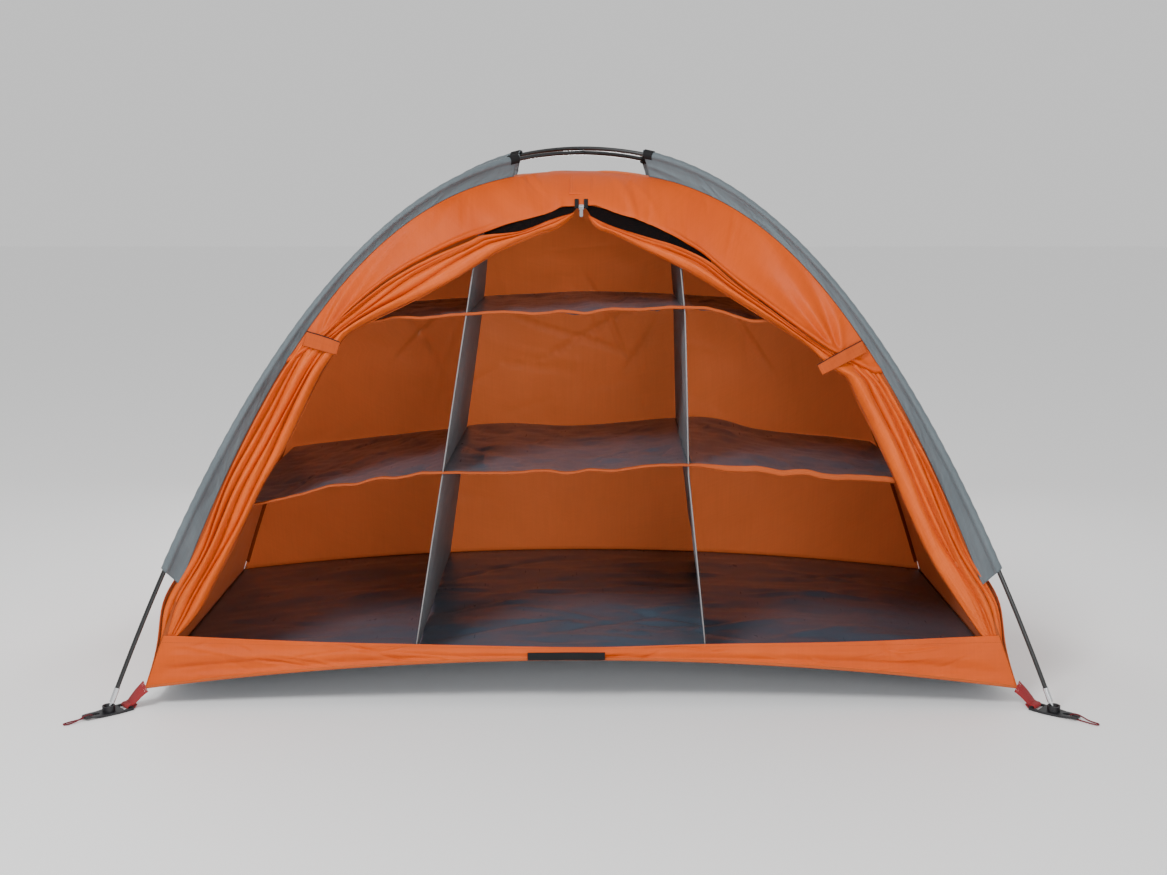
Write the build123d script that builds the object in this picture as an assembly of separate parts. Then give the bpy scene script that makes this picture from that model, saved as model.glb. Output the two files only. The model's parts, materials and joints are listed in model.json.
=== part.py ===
"""Small dome storage tent: two crossing poles, a four-panel body hung under them, a tied-back door,
and an organiser of two shelves and two dividers inside. Millimetres, +Z up, the door faces -Y,
origin on the ground at the centre of the footprint."""

from build123d import *

import os
from math import atan2, cos, degrees, hypot, pi, radians, sin, sqrt, tan

# ---- driving dimensions: frame ----
POLE_SPAN_X = 830.0  # pole seat, from the centre, across the door side
POLE_SPAN_Y = 395.0  # pole seat, from the centre, front to back
POLE_HEIGHT = 968.0  # centre line of the lower pole at the crossing
POLE_POWER = 2.3  # how boxy the pole's arch is
POLE_OD = 7.9
POLE_BORE = 4.9
POLE_SECTIONS = 5
POLE_CROSSING_GAP = 0.3  # between the two poles where they cross
SECTION_GAP = 0.8  # between the ends of neighbouring sections, inside a ferrule
FERRULE_WALL = 0.8
FERRULE_LENGTH = 60.0
FERRULE_CLEARANCE = 0.12
SHOCK_CORD_D = 3.0
TIP_SLEEVE_LENGTH = 24.0
TIP_SLEEVE_WALL = 0.7
TIP_PIN_D = 5.0
TIP_PIN_LENGTH = 16.0
TIP_CAP = 3.0  # the solid metal between the tube and the pin
TIP_CLEARANCE = 0.12

# ---- driving dimensions: body ----
BODY_INSET = 45.0  # where the body's seams would meet the ground, in from the pole seats
BODY_UNDER = 36.0  # the body's crown under the lower pole's centre line
SEAM_POWER = 2.57  # how boxy the body's arch is
FABRIC = 1.5
SEAM_GAP = 1.8  # half the space that a diagonal seam's tape and sleeve take
HEM_CORNER_Z = 35.0  # the hem's height at the corners
HEM_CENTRE_Z = 85.0  # and in the middle, where the poles pull it up
CLEAR = 0.3  # between soft pieces that only lie against each other
PAST_END = 1.1  # an edge's arc is carried on past its ends by this much
CUT_OVER = 0.01  # how far a cutting shape passes the face that it cuts

# ---- driving dimensions: sleeves ----
SLEEVE_WEB = 2.4
SLEEVE_BORE = 13.0
SLEEVE_WALL = 1.2
SLEEVE_TOP_X = 118.0  # the crown is open between the sleeves
SLEEVE_END_Z = 245.0
SLEEVE_TAPE_WIDTH = 16.0
TAPE = 1.2
SLEEVE_TOP_LEAN = 1.07  # the web's top end lies this much further out than the tube's
SLEEVE_SEAM_SHARES = [0.33, 0.48, 0.6, 0.7, 0.79, 0.87, 0.94, 1.0]
SLEEVE_WEB_RISE = 30.0  # the web's lower end is this much under the tube's
BORE_START, BORE_END = 0.9, 1.02  # the bore runs on past both ends
SEAM_TAPE_DEPTH = 8.0
SEAM_TAPE_SKIN = 0.2  # cloth over the tape's outer edge
SEAM_TAPE = 2.2
SEAM_TAPE_SHARES = [0.012, 0.14, 0.3, 0.44, 0.57, 0.69, 0.8, 0.9, 0.975]

# ---- driving dimensions: door and sill ----
# Outlines are (distance from the middle, height) in the front view, drawn for a body of this size.
DRAWN_HALF_WIDTH = 785.0
DRAWN_HEIGHT = 932.0
LEFT, RIGHT = -1, 1
VISOR = {  # the roof's lower edge, from the zip out to the tie
    LEFT: [(34, 873), (70, 859), (133, 841), (205, 815), (276, 784), (346, 743), (416, 687), (460, 644)],
    RIGHT: [(27, 873), (66, 859), (138, 834), (210, 794), (280, 737), (350, 686), (420, 636), (461, 620)],
}
BUNDLE_TOP = {  # where a gathered door leaves the visor, with a slit of mesh above it
    LEFT: [(14, 862), (55, 848), (115, 827), (178, 821)],
    RIGHT: [(14, 858), (52, 839), (120, 818), (174, 802), (232, 773)],
}
OPENING_TOP = {  # the gathered door's lower edge, from the zip out to the tie
    LEFT: [(14, 850), (43, 838), (79, 826), (150, 794), (221, 751), (292, 713), (363, 679), (415, 648)],
    RIGHT: [(14, 846), (30, 834), (66, 822), (138, 788), (209, 751), (279, 706), (350, 662), (403, 628)],
}
OPENING_SIDE = {  # and its inner edge, from the tie down to the sill
    LEFT: [(441, 615), (464, 575), (528, 450), (601, 312), (677, 170), (709, 131)],
    RIGHT: [(450, 605), (473, 572), (524, 467), (585, 330), (665, 190), (709, 131)],
}
SILL_TOP_Z = 109.0
SILL_SIDE_Z = 128.0
BUNDLE_OUT = 5.0  # how far a gathered door stands out of the front panel
BUNDLE_IN = 16.0  # and how far it reaches in behind it
CUT = 2.0  # between neighbouring outlines in the front view
MESH = 0.8
ZIP_TAPE = 7.0
ZIP_TAPE_TOP = 890.0
ZIP_TAPE_LOW = 866.0
FLAP_HALF_WIDTH = 22.0
FLAP_TOP_Z = 926.0
FLAP = 1.2
SILL_TAB_SPAN = (-95.0, 42.0)
SILL_TAB_HEIGHT = 16.0
SILL_TAB = 1.5

# ---- driving dimensions: organiser ----
LEFT_DIVIDER_FOOT_X = -298.0
LEFT_DIVIDER_HEAD_X = -172.0
RIGHT_DIVIDER_FOOT_X = 238.0
RIGHT_DIVIDER_HEAD_X = 164.0
DIVIDER = 1.2
SHELF = 1.2
MID_SHELF_Z = 398.0
MID_SHELF_DROP = 45.0  # lower at the side walls than in the middle
MID_SHELF_TILT = 24.0  # lower at the back wall than in front
TOP_SHELF_Z = 686.0
TOP_SHELF_DROP = 28.0
TOP_SHELF_TILT = 1.0
BINDING_HEIGHT = 10.0
BINDING = 1.8

# ---- driving dimensions: zip slider, ties ----
SLIDER_Z = 867.0
SLIDER = (9.0, 12.0, 4.6)  # width, length, thickness
LUG = (1.4, 4.0)  # width and length of each lug on the slider
PIN_R = 0.7
PIN_UP = 2.6  # the puller's pin above the slider's face
PULLER = (6.0, 24.0, 1.4)
ZIP_ROUND = 2.0  # corners of the slider and of the puller's grip
GRIP_SHARE = 0.56  # of the puller's length
KNUCKLE_R = 1.9
KNUCKLE_CLEARANCE = 0.25
TIES = {LEFT: (489, 641, 60, 27, 15), RIGHT: (500, 627, 88, 23, 27)}  # root x, root z, length, width, dip
TIE = 1.8

# ---- driving dimensions: feet, along the foot's own axis from the pole's seat ----
FOOT_TURN = 44.0  # the way a foot points, from the X axis, in degrees
FOOT_OUT = 47.0
FOOT_IN = 40.0
FOOT_HALF_IN = 18.0
FOOT_HALF_OUT = 9.0
FOOT_CORNER_R = 5.0
FOOT_THICK = 4.0
NOSE_LOW_Z = 3.2  # the nose is lifted so that the peg loop runs under it
NOSE_THICK = 2.6
CUP_R = 11.0
CUP_TOP_Z = 14.0
CUP_MOUTH_R = 8.6
CUP_BOTTOM_R = 3.6
EYE_CENTRE = 27.0
EYE_LENGTH = 20.0
EYE_WIDTH = 9.5
BAR = 7.0
STRAP_SLOT = 11.0
STRAP_ROOM = 1.0  # beside the strap in its slot
STRAP_WIDTH = 25.0
STRAP = 1.6
STRAP_SHORT = 6.0  # the strap's solid stops this far from the body's corner
LOOP_D = 2.5
ARC_SHARE = 0.45  # of the shorter run beside a corner that its arc may take
LOOP_ROUTE = [
    (29.5, 2.1, 3.2),
    (34.0, 2.5, 7.6),
    (43.5, 3.1, 8.3),
    (53.5, 3.9, 5.0),
    (63.0, 3.8, 2.1),
    (72.0, 4.2, 1.5),
    (78.5, 3.9, 1.6),
    (82.0, 2.0, 1.7),
    (82.0, -1.9, 1.6),
    (78.5, -3.8, 1.5),
    (71.5, -4.3, 1.4),
    (62.5, -4.0, 1.35),
    (52.0, -3.5, 1.4),
    (42.5, -2.8, 1.35),
    (34.6, -2.4, 1.4),
    (28.4, -2.1, 2.6),
]

# ---- worked out ----
SLOPE = POLE_SPAN_Y / POLE_SPAN_X  # the diagonals' slope in plan
BODY_HALF_WIDTH = POLE_SPAN_X - BODY_INSET
BODY_HEIGHT = POLE_HEIGHT - BODY_UNDER
BODY_HALF_DEPTH = BODY_HALF_WIDTH * SLOPE
WIDEN = BODY_HALF_WIDTH / DRAWN_HALF_WIDTH
HEIGHTEN = BODY_HEIGHT / DRAWN_HEIGHT
DIAGONAL = hypot(POLE_SPAN_X, POLE_SPAN_Y)
ALONG = DIAGONAL / POLE_SPAN_X  # length along a diagonal for each millimetre of X
FAR = 2.0 * POLE_SPAN_X
POLE_R = POLE_OD / 2
SEAT_Z = FOOT_THICK + 0.5
SHARES = [0.0, 0.16, 0.32, 0.46, 0.6, 0.72, 0.83, 0.92, 1.0, 1.03]  # of the half width, for the arch


def body_half_width(z):
    """Half the body's width at height z; the front view of its diagonal seams."""
    return BODY_HALF_WIDTH * (1 - z / BODY_HEIGHT) ** (1 / SEAM_POWER)


def arch(half, offset, shares=None):
    """Points (w, z) of the body's profile with this half width, moved out along its normal."""
    points = []
    for share in shares or SHARES:
        steep = BODY_HEIGHT * SEAM_POWER * share ** (SEAM_POWER - 1)
        size = hypot(steep, half)
        w = half * share + offset * steep / size
        z = BODY_HEIGHT * (1 - share**SEAM_POWER) + offset * half / size
        points.append((w, z))
    return points


def profile_edge(points, place):
    """A smooth edge through profile points, level at the crown."""
    vectors = [Vector(*place(w, z)) for w, z in points]
    level = Vector(*place(1, 0)) - Vector(*place(0, 0))
    last = vectors[-1] - vectors[-2]
    return Spline(*vectors, tangents=[level, last])


def band(half, outer, inner, place):
    """The face between two offsets of the profile, from the crown down to below the ground."""
    top, low = arch(half, outer), arch(half, inner)
    ends = [Line(place(*top[0]), place(*low[0])), Line(place(*top[-1]), place(*low[-1]))]
    return make_face([profile_edge(top, place), profile_edge(low, place), *ends])


def front_place(w, z):
    return (0, -w, z)


def back_place(w, z):
    return (0, w, z)


def right_place(w, z):
    return (w, 0, z)


def left_place(w, z):
    return (-w, 0, z)


def carried(face, direction):
    """A face's shape carried through the whole body, from one far side to the other."""
    start = Vector(*direction) * (-FAR / 2)
    return extrude(face.moved(Location(start)), FAR, dir=direction)


def front_shell(outer, inner):
    """The front panel's whole surface as a shell between two offsets, not yet trimmed."""
    return carried(band(BODY_HALF_DEPTH, outer, inner, front_place), (1, 0, 0))


def right_shell(outer, inner):
    return carried(band(BODY_HALF_WIDTH, outer, inner, right_place), (0, 1, 0))


def prism(corners):
    """A tall prism on a plan outline."""
    face = make_face(Polyline(*[(x, y, -100) for x, y in corners], close=True))
    return extrude(face, POLE_HEIGHT + 300, dir=(0, 0, 1))


def front_wedge(gap):
    """The plan region of the front panel, clear of the diagonals by gap."""
    tip = gap * sqrt(1 + SLOPE**2)
    return prism([(0, -tip), (FAR, -tip - SLOPE * FAR), (-FAR, -tip - SLOPE * FAR)])


def right_wedge(gap):
    tip = gap * sqrt(1 + SLOPE**2) / SLOPE
    return prism([(tip, 0), (tip + FAR, SLOPE * FAR), (tip + FAR, -SLOPE * FAR)])


def view_prism(edges):
    """A front view outline carried through the whole depth."""
    return carried(make_face(edges), (0, 1, 0))


def arch_edge(mid_z, end_z, half):
    """A shallow arc over the whole width, in the front view."""
    return ThreePointArc((-half, 0, end_z), (0, 0, mid_z), (half, 0, end_z))


HEM_HALF = body_half_width(HEM_CORNER_Z)
HEM_FALL = HEM_CENTRE_Z - HEM_CORNER_Z


def hem_edge(lower=0.0):
    """The hem's arc, carried on a little past the corners."""
    fall = HEM_FALL * PAST_END**2
    return arch_edge(HEM_CENTRE_Z - lower, HEM_CENTRE_Z - fall - lower, HEM_HALF * PAST_END)


def above_hem(lower=0.0):
    edge = hem_edge(lower)
    a, b = edge @ 0, edge @ 1
    top = 2 * POLE_HEIGHT
    return view_prism([edge, Polyline(tuple(a), (a.X, 0, top), (b.X, 0, top), tuple(b))])


def both_sides(shape):
    return mirror(shape, about=Plane.YZ)


def front_back(shape):
    return mirror(shape, about=Plane.XZ)


# ---- poles ----
def pole_point(share, height):
    """A point (s, z) of a pole's centre line in its own upright plane, s along the diagonal."""
    return DIAGONAL * share, SEAT_Z + (height - SEAT_Z) * (1 - abs(share) ** POLE_POWER)


def pole_slope(share, height):
    """The centre line's direction there, towards positive s."""
    sign = 1 if share >= 0 else -1
    fall = -sign * (height - SEAT_Z) * POLE_POWER * abs(share) ** (POLE_POWER - 1)
    return Vector(DIAGONAL, fall).normalized()


def pole_lengths(height, count=2000):
    """Shares along a pole, and the length from its first foot to each."""
    shares = [-1 + 2 * i / count for i in range(count + 1)]
    points = [pole_point(t, height) for t in shares]
    total, run = 0.0, [0.0]
    for (s0, z0), (s1, z1) in zip(points, points[1:]):
        total += hypot(s1 - s0, z1 - z0)
        run.append(total)
    return shares, run


def share_at(length, shares, run):
    """The share of the span that lies this length from the pole's first foot."""
    for i in range(1, len(run)):
        if run[i] >= length:
            part = (length - run[i - 1]) / (run[i] - run[i - 1])
            return shares[i - 1] + part * (shares[i] - shares[i - 1])
    return shares[-1]


def biarc(p0, t0, p1, t1):
    """The middle point of two tangent arcs that join p0 to p1 with these end directions."""
    v, t = p1 - p0, t0 + t1
    a, b, c = 2 * (1 - t0.dot(t1)), 2 * v.dot(t), -v.dot(v)
    d = -c / b if a < 1e-9 else (-b + sqrt(b * b - 4 * a * c)) / (2 * a)
    return (p0 + t0 * d + p1 - t1 * d) * 0.5


def pole_wire(first, last, height, turn):
    """The centre line between two shares, as two tangent arcs, for a pole along plan angle turn."""
    p0, p1 = Vector(*pole_point(first, height)), Vector(*pole_point(last, height))
    t0, t1 = pole_slope(first, height), pole_slope(last, height)
    middle = biarc(p0, t0, p1, t1)

    def place(p):
        return Vector(p.X * cos(turn), p.X * sin(turn), p.Y)

    one = Edge.make_tangent_arc(place(p0), place(t0), place(middle))
    two = Edge.make_tangent_arc(place(middle), one.tangent_at(1), place(p1))
    return Wire([one, two])


def arc_chain(height, turn, first, last, pieces=4):
    """A pole's centre line between two shares as a chain of tangent arcs."""
    steps = [first + (last - first) * i / pieces for i in range(pieces + 1)]
    edges = []
    for a, b in zip(steps, steps[1:]):
        edges += pole_wire(a, b, height, turn).edges()
    return Wire(edges)


def rod(wire, radius):
    """A round bar along a wire."""
    start = Plane(origin=wire @ 0, z_dir=wire % 0)
    return sweep(start * Circle(radius), path=wire)


def pipe(wire, radius, bore):
    return rod(wire, radius) - rod(wire, bore)


POLE_B_HEIGHT = POLE_HEIGHT + POLE_OD + POLE_CROSSING_GAP
TIP_LENGTH = TIP_PIN_LENGTH + TIP_CAP  # from the seat to where the glass fibre ends
TURN_A = atan2(POLE_SPAN_Y, POLE_SPAN_X)
POLES = {"a": (POLE_HEIGHT, TURN_A), "b": (POLE_B_HEIGHT, -TURN_A)}


def make_pole(height, turn):
    """One pole's tube sections, ferrules, end tips and shock cord."""
    shares, run = pole_lengths(height)
    usable = run[-1] - 2 * TIP_LENGTH
    step = usable / POLE_SECTIONS
    sections, ferrules = [], []
    for i in range(POLE_SECTIONS):
        low = TIP_LENGTH + step * i + (SECTION_GAP / 2 if i else 0)
        high = TIP_LENGTH + step * (i + 1) - (SECTION_GAP / 2 if i < POLE_SECTIONS - 1 else 0)
        wire = arc_chain(height, turn, share_at(low, shares, run), share_at(high, shares, run), 2)
        sections.append(pipe(wire, POLE_R, POLE_BORE / 2))
    for i in range(1, POLE_SECTIONS):
        joint = TIP_LENGTH + step * i
        ends = [share_at(joint + k * FERRULE_LENGTH / 2, shares, run) for k in (-1, 1)]
        wire = pole_wire(*ends, height, turn)
        ferrules.append(pipe(wire, POLE_R + FERRULE_CLEARANCE + FERRULE_WALL, POLE_R + FERRULE_CLEARANCE))
    cord = []
    cuts = [TIP_LENGTH + step * i for i in range(POLE_SECTIONS + 1)]
    cuts[0] += SECTION_GAP
    cuts[-1] -= SECTION_GAP
    for low, high in zip(cuts, cuts[1:]):
        wire = arc_chain(height, turn, share_at(low, shares, run), share_at(high, shares, run), 2)
        cord.append(rod(wire, SHOCK_CORD_D / 2))
    tips = [end_tip(k, height, turn, shares, run) for k in (-1, 1)]
    return sections, ferrules, tips, cord[0].fuse(*cord[1:])


def end_tip(side, height, turn, shares, run):
    """A metal end turned in one piece: a sleeve over the tube's last stretch and a pin for the foot."""
    end = share_at(TIP_LENGTH, shares, run) * -side
    inner = share_at(TIP_LENGTH + TIP_SLEEVE_LENGTH, shares, run) * -side
    (s, z), (s_in, z_in) = pole_point(end, height), pole_point(inner, height)
    start, upper = Vector(s, 0, z), Vector(s_in, 0, z_in)
    seat = Vector(side * DIAGONAL, 0, SEAT_Z)
    bore = POLE_R + TIP_CLEARANCE
    outer = bore + TIP_SLEEVE_WALL
    pin_top = (seat - start).length - TIP_CAP
    pin_r = TIP_PIN_D / 2
    pin_end = -TIP_CAP - pin_top
    pin_shoulder = (pin_r, pin_end + pin_r)
    profile = [
        Polyline((0, -CLEAR), (bore, -CLEAR), (bore, TIP_SLEEVE_LENGTH), (outer, TIP_SLEEVE_LENGTH)),
        Polyline((outer, TIP_SLEEVE_LENGTH), (outer, -TIP_CAP), (pin_r, -TIP_CAP), pin_shoulder),
        RadiusArc(pin_shoulder, (0, pin_end), pin_r),
        Line((0, pin_end), (0, -CLEAR)),
    ]
    turned = revolve(Plane.XZ * make_face(profile), Axis.Z)
    leaning = Plane(origin=start, z_dir=upper - start) * turned
    return Rot(0, 0, degrees(turn)) * leaning


# ---- sleeves, in the upright plane of a diagonal ----
def diagonal_place(turn):
    def place(s, z):
        return Vector(s * cos(turn), s * sin(turn), z)

    return place


def share_at_height(z, height):
    return (1 - (z - SEAT_Z) / (height - SEAT_Z)) ** (1 / POLE_POWER)


def seam_point(x, depth=0.0):
    """A point (s, z) on a diagonal seam at this X, moved inwards by depth."""
    share = x / BODY_HALF_WIDTH
    return arch(BODY_HALF_WIDTH * ALONG, -depth, [share])[0]


def make_sleeve(height, turn):
    """The sleeve over one half of a pole: a tube round the pole and a web down to the body's seam."""
    place = diagonal_place(turn)
    top_share = SLEEVE_TOP_X / POLE_SPAN_X
    end_share = share_at_height(SLEEVE_END_Z, height)
    spine = arc_chain(height, turn, top_share, end_share)
    radius = SLEEVE_BORE / 2 + SLEEVE_WALL
    tube = rod(spine, radius)
    end_s, end_z = pole_point(end_share, height)
    slope = pole_slope(end_share, height)
    web_x = body_half_width(end_z - SLEEVE_WEB_RISE)
    shares = [SLEEVE_TOP_X * SLEEVE_TOP_LEAN / web_x] + SLEEVE_SEAM_SHARES
    seam = [Vector(*place(*seam_point(web_x * k))) for k in shares]
    lower = Spline(*seam)
    a, b = spine @ 0, spine @ 1
    outline = [*spine.edges(), Line(tuple(b), tuple(lower @ 1)), lower, Line(tuple(lower @ 0), tuple(a))]
    normal = Vector(-sin(turn), cos(turn), 0)
    web = extrude(make_face(outline), SLEEVE_WEB / 2, dir=tuple(normal), both=True)
    bore_line = arc_chain(height, turn, top_share * BORE_START, min(1.0, end_share * BORE_END))
    bore = rod(bore_line, SLEEVE_BORE / 2)
    return (tube + web) - bore


def sleeve_tape(height, turn):
    """Dark binding over the sleeve's open end at the crown, with a slot for the web."""
    place = diagonal_place(turn)
    first = SLEEVE_TOP_X / POLE_SPAN_X
    last = (SLEEVE_TOP_X + SLEEVE_TAPE_WIDTH) / POLE_SPAN_X
    radius = SLEEVE_BORE / 2 + SLEEVE_WALL
    ring = pipe(pole_wire(first, last, height, turn), radius + TAPE + CLEAR / 2, radius + CLEAR / 2)
    corners = [(0, height - 5), (2 * SLEEVE_TOP_X, height - 5), (2 * SLEEVE_TOP_X, 0), (0, 0)]
    outline = Polyline(*[tuple(place(*c)) for c in corners], close=True)
    normal = Vector(-sin(turn), cos(turn), 0)
    return ring - extrude(make_face(outline), SLEEVE_WEB / 2 + CLEAR, dir=tuple(normal), both=True)


def seam_tape(turn, room=0.0):
    """Binding along one diagonal seam, from near the crown down to the corner, grown by room."""
    place = diagonal_place(turn)
    reaches = [BODY_HALF_WIDTH * k for k in SEAM_TAPE_SHARES]
    top = [Vector(*place(*seam_point(x, SEAM_TAPE_SKIN))) for x in reaches]
    low = [Vector(*place(*seam_point(x, SEAM_TAPE_DEPTH + room))) for x in reaches]
    ends = [Line(tuple(top[k]), tuple(low[k])) for k in (0, -1)]
    edges = [Spline(*top), Spline(*low), *ends]
    normal = Vector(-sin(turn), cos(turn), 0)
    return extrude(make_face(edges), SEAM_TAPE / 2 + room, dir=tuple(normal), both=True)


# ---- body panels ----
def view_spline(points, side=RIGHT):
    """A drawn outline, stretched to the body's size."""
    return Spline(*[(side * x * WIDEN, 0, z * HEIGHTEN) for x, z in points])


def end_of(edge, at):
    return tuple(edge @ at)


def trimmed_front(shell, outline, gap=SEAM_GAP):
    return (shell & outline) & front_wedge(gap)


def front_panel():
    """The visor: everything of the front above the gathered doors."""
    left, right = [view_spline(VISOR[side], side) for side in (LEFT, RIGHT)]
    top = 2 * BODY_HEIGHT
    left_z, right_z = end_of(left, 1)[2], end_of(right, 1)[2]
    outside = Polyline(
        end_of(left, 1), (-BODY_HALF_WIDTH, 0, left_z), (-BODY_HALF_WIDTH, 0, top),
        (BODY_HALF_WIDTH, 0, top), (BODY_HALF_WIDTH, 0, right_z), end_of(right, 1),
    )
    outline = view_prism([left, right, outside, Line(end_of(left, 0), end_of(right, 0))])
    return trimmed_front(front_shell(0, -FABRIC), outline)


def sill_edge(raise_by=0.0):
    """The sill's top edge, carried on past the seams."""
    rise = (SILL_SIDE_Z - SILL_TOP_Z) * PAST_END**2
    return arch_edge(SILL_TOP_Z + raise_by, SILL_TOP_Z + rise + raise_by, HEM_HALF * PAST_END)


def between(lower, upper):
    """A prism on the strip between two arcs of the front view."""
    sides = [Line(end_of(lower, k), end_of(upper, k)) for k in (0, 1)]
    return view_prism([lower, upper, *sides])


def front_sill():
    return trimmed_front(front_shell(0, -FABRIC), between(hem_edge(), sill_edge()))


def sill_tab():
    """The dark tab that hangs on the sill's hem, right in the middle."""
    x0, x1 = SILL_TAB_SPAN
    low = between(hem_edge(-1), hem_edge(-1 - SILL_TAB_HEIGHT))
    sides = Pos((x0 + x1) / 2, 0, HEM_CENTRE_Z) * Box(x1 - x0, FAR, 4 * SILL_TAB_HEIGHT)
    return (front_shell(CLEAR + SILL_TAB, CLEAR) & low) & sides


def door(side):
    """A door half, gathered to the side: under the visor to the tie, then down beside the seam."""
    under_visor = BUNDLE_TOP[side][-1][0] + FLAP_HALF_WIDTH
    top = BUNDLE_TOP[side] + [(x, z - CUT) for x, z in VISOR[side] if x > under_visor]
    upper = view_spline(top, side)
    under = view_spline(OPENING_TOP[side] + OPENING_SIDE[side][:1], side)
    inner = view_spline(OPENING_SIDE[side], side)
    tie_z = end_of(upper, 1)[2]
    outer_x = side * BODY_HALF_WIDTH
    sill_z = SILL_SIDE_Z + CUT
    outside = Polyline(end_of(upper, 1), (outer_x, 0, tie_z), (outer_x, 0, sill_z), end_of(inner, 1))
    outline = view_prism([upper, outside, inner, under, Line(end_of(under, 0), end_of(upper, 0))])
    return trimmed_front(front_shell(BUNDLE_OUT, -BUNDLE_IN), outline)


def mesh_slit(side):
    """The slit of dark mesh that shows between the visor and the gathered door."""
    end, end_z = BUNDLE_TOP[side][-1]
    top = [(x, z) for x, z in VISOR[side] if x < end - FLAP_HALF_WIDTH]
    upper = view_spline(top + [(end, end_z + 3 * CUT)], side)
    lower = view_spline([(x, z + 2 * CUT) for x, z in BUNDLE_TOP[side][1:]], side)
    outline = view_prism([upper, lower] + [Line(end_of(lower, k), end_of(upper, k)) for k in (0, 1)])
    behind = -FABRIC - CLEAR
    return front_shell(behind, behind - MESH) & outline


def right_wall():
    return (right_shell(0, -FABRIC) & above_hem()) & right_wedge(SEAM_GAP)


def back_wall():
    return front_back(trimmed_front(front_shell(0, -FABRIC), above_hem()))


def dome(half, low_offset, high_offset, low_place, high_place, direction):
    """Everything under one pair of panels, each moved by its own offset."""
    low, high = arch(half, low_offset), arch(half, high_offset)
    edges = [profile_edge(low, low_place), profile_edge(high, high_place)]
    edges.append(Line(low_place(*low[-1]), high_place(*high[-1])))
    if low_offset != high_offset:
        edges.append(Line(low_place(*low[0]), high_place(*high[0])))
    return carried(make_face(edges), direction)


def kept_inside(shape, front, back, side):
    """The part of a shape that lies inside the body, with each panel moved by its own offset."""
    across = dome(BODY_HALF_DEPTH, front, back, front_place, back_place, (1, 0, 0))
    along = dome(BODY_HALF_WIDTH, side, side, left_place, right_place, (0, 1, 0))
    return (shape & across) & along


def floor_sheet():
    slab = between(hem_edge(CLEAR + FABRIC), hem_edge(CLEAR))
    return kept_inside(slab, 0, 0, 0)


# ---- organiser ----
ORGANISER_FRONT = -(BUNDLE_IN + 4.0)
ORGANISER_WALL = -(FABRIC + CLEAR)


def divider_line(side, shift):
    """A divider's foot and head in the front view, moved sideways by shift."""
    foot, head = {
        LEFT: (LEFT_DIVIDER_FOOT_X, LEFT_DIVIDER_HEAD_X),
        RIGHT: (RIGHT_DIVIDER_FOOT_X, RIGHT_DIVIDER_HEAD_X),
    }[side]
    return (foot + shift, 0, 0), (head + shift, 0, BODY_HEIGHT)


def in_room(shape):
    """The part of a shape that fits behind the gathered doors and between the walls and seam tapes."""
    kept = kept_inside(shape, ORGANISER_FRONT, ORGANISER_WALL, ORGANISER_WALL)
    for turn in (TURN_A, -TURN_A, pi - TURN_A, pi + TURN_A):
        kept -= seam_tape(turn, CLEAR)
    return kept


def divider(side):
    """A sheet from the floor to the roof, slanted so that it hangs square to the roof."""
    (a, b), (c, d) = divider_line(side, -DIVIDER / 2), divider_line(side, DIVIDER / 2)
    slab = view_prism([Polyline(a, b, d, c, close=True)])
    return in_room(slab & above_hem(-CLEAR))


def column(name):
    """The front view region of one column of compartments, clear of the dividers."""
    gap = DIVIDER / 2 + CLEAR
    if name == "centre":
        (a, b), (c, d) = divider_line(LEFT, gap), divider_line(RIGHT, -gap)
    else:
        side = LEFT if name == "left" else RIGHT
        (a, b) = divider_line(side, side * gap)
        c, d = (side * FAR / 2, 0, 0), (side * FAR / 2, 0, BODY_HEIGHT)
    return view_prism([Polyline(a, b, d, c, close=True)])


def shelf_edge(z, drop, lower=0.0):
    return arch_edge(z - lower, z - drop * PAST_END**2 - lower, body_half_width(z) * PAST_END)


def shelf(z, drop, tilt, name):
    """One column's part of a shelf: it sags towards the side walls and dips to the back."""
    upper, under = shelf_edge(z, drop), shelf_edge(z, drop, SHELF)
    face = make_face([upper, under] + [Line(end_of(upper, k), end_of(under, k)) for k in (0, 1)])
    direction = Vector(0, 2 * BODY_HALF_DEPTH, -tilt).normalized()
    return in_room(carried(face, tuple(direction)) & column(name))


def binding(z, drop, tilt):
    """The tape along a shelf's front edge."""
    front_z = z + tilt / 2
    half = BINDING_HEIGHT / 2
    strip = between(shelf_edge(front_z, drop, half), shelf_edge(front_z, drop, -half))
    outer = ORGANISER_FRONT + CLEAR + BINDING
    shell = front_shell(outer, outer - BINDING)
    return kept_inside(shell & strip, outer + BINDING_HEIGHT, 0, ORGANISER_WALL - BINDING_HEIGHT)


# ---- zip and ties ----
def front_plane(x, z):
    """The front surface's plane at this point: local x to the right, local y up the slope, z outwards."""
    share = (1 - z / BODY_HEIGHT) ** (1 / SEAM_POWER)
    (w, _), (w_out, z_out) = arch(BODY_HALF_DEPTH, 0, [share])[0], arch(BODY_HALF_DEPTH, 1, [share])[0]
    return Plane(origin=(x, -w, z), x_dir=(1, 0, 0), z_dir=(0, w - w_out, z_out - z))


def zip_slider():
    width, length, thick = SLIDER
    body = Pos(0, 0, CLEAR + thick / 2) * Box(width, length, thick)
    body = fillet(body.edges().filter_by(Axis.Z), ZIP_ROUND)
    lug_width, lug_length = LUG
    pin_z = CLEAR + thick + PIN_UP
    for side in (LEFT, RIGHT):
        lug_x = side * (width - lug_width) / 2
        body += Pos(lug_x, 0, pin_z - PIN_UP / 2) * Box(lug_width, lug_length, PIN_UP)
        body += Pos(lug_x, 0, pin_z) * Rot(0, 90, 0) * Cylinder(lug_length / 2, lug_width)
    body += Pos(0, 0, pin_z) * Rot(0, 90, 0) * Cylinder(PIN_R, width - lug_width)
    return front_plane(0, SLIDER_Z * HEIGHTEN) * body


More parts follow.
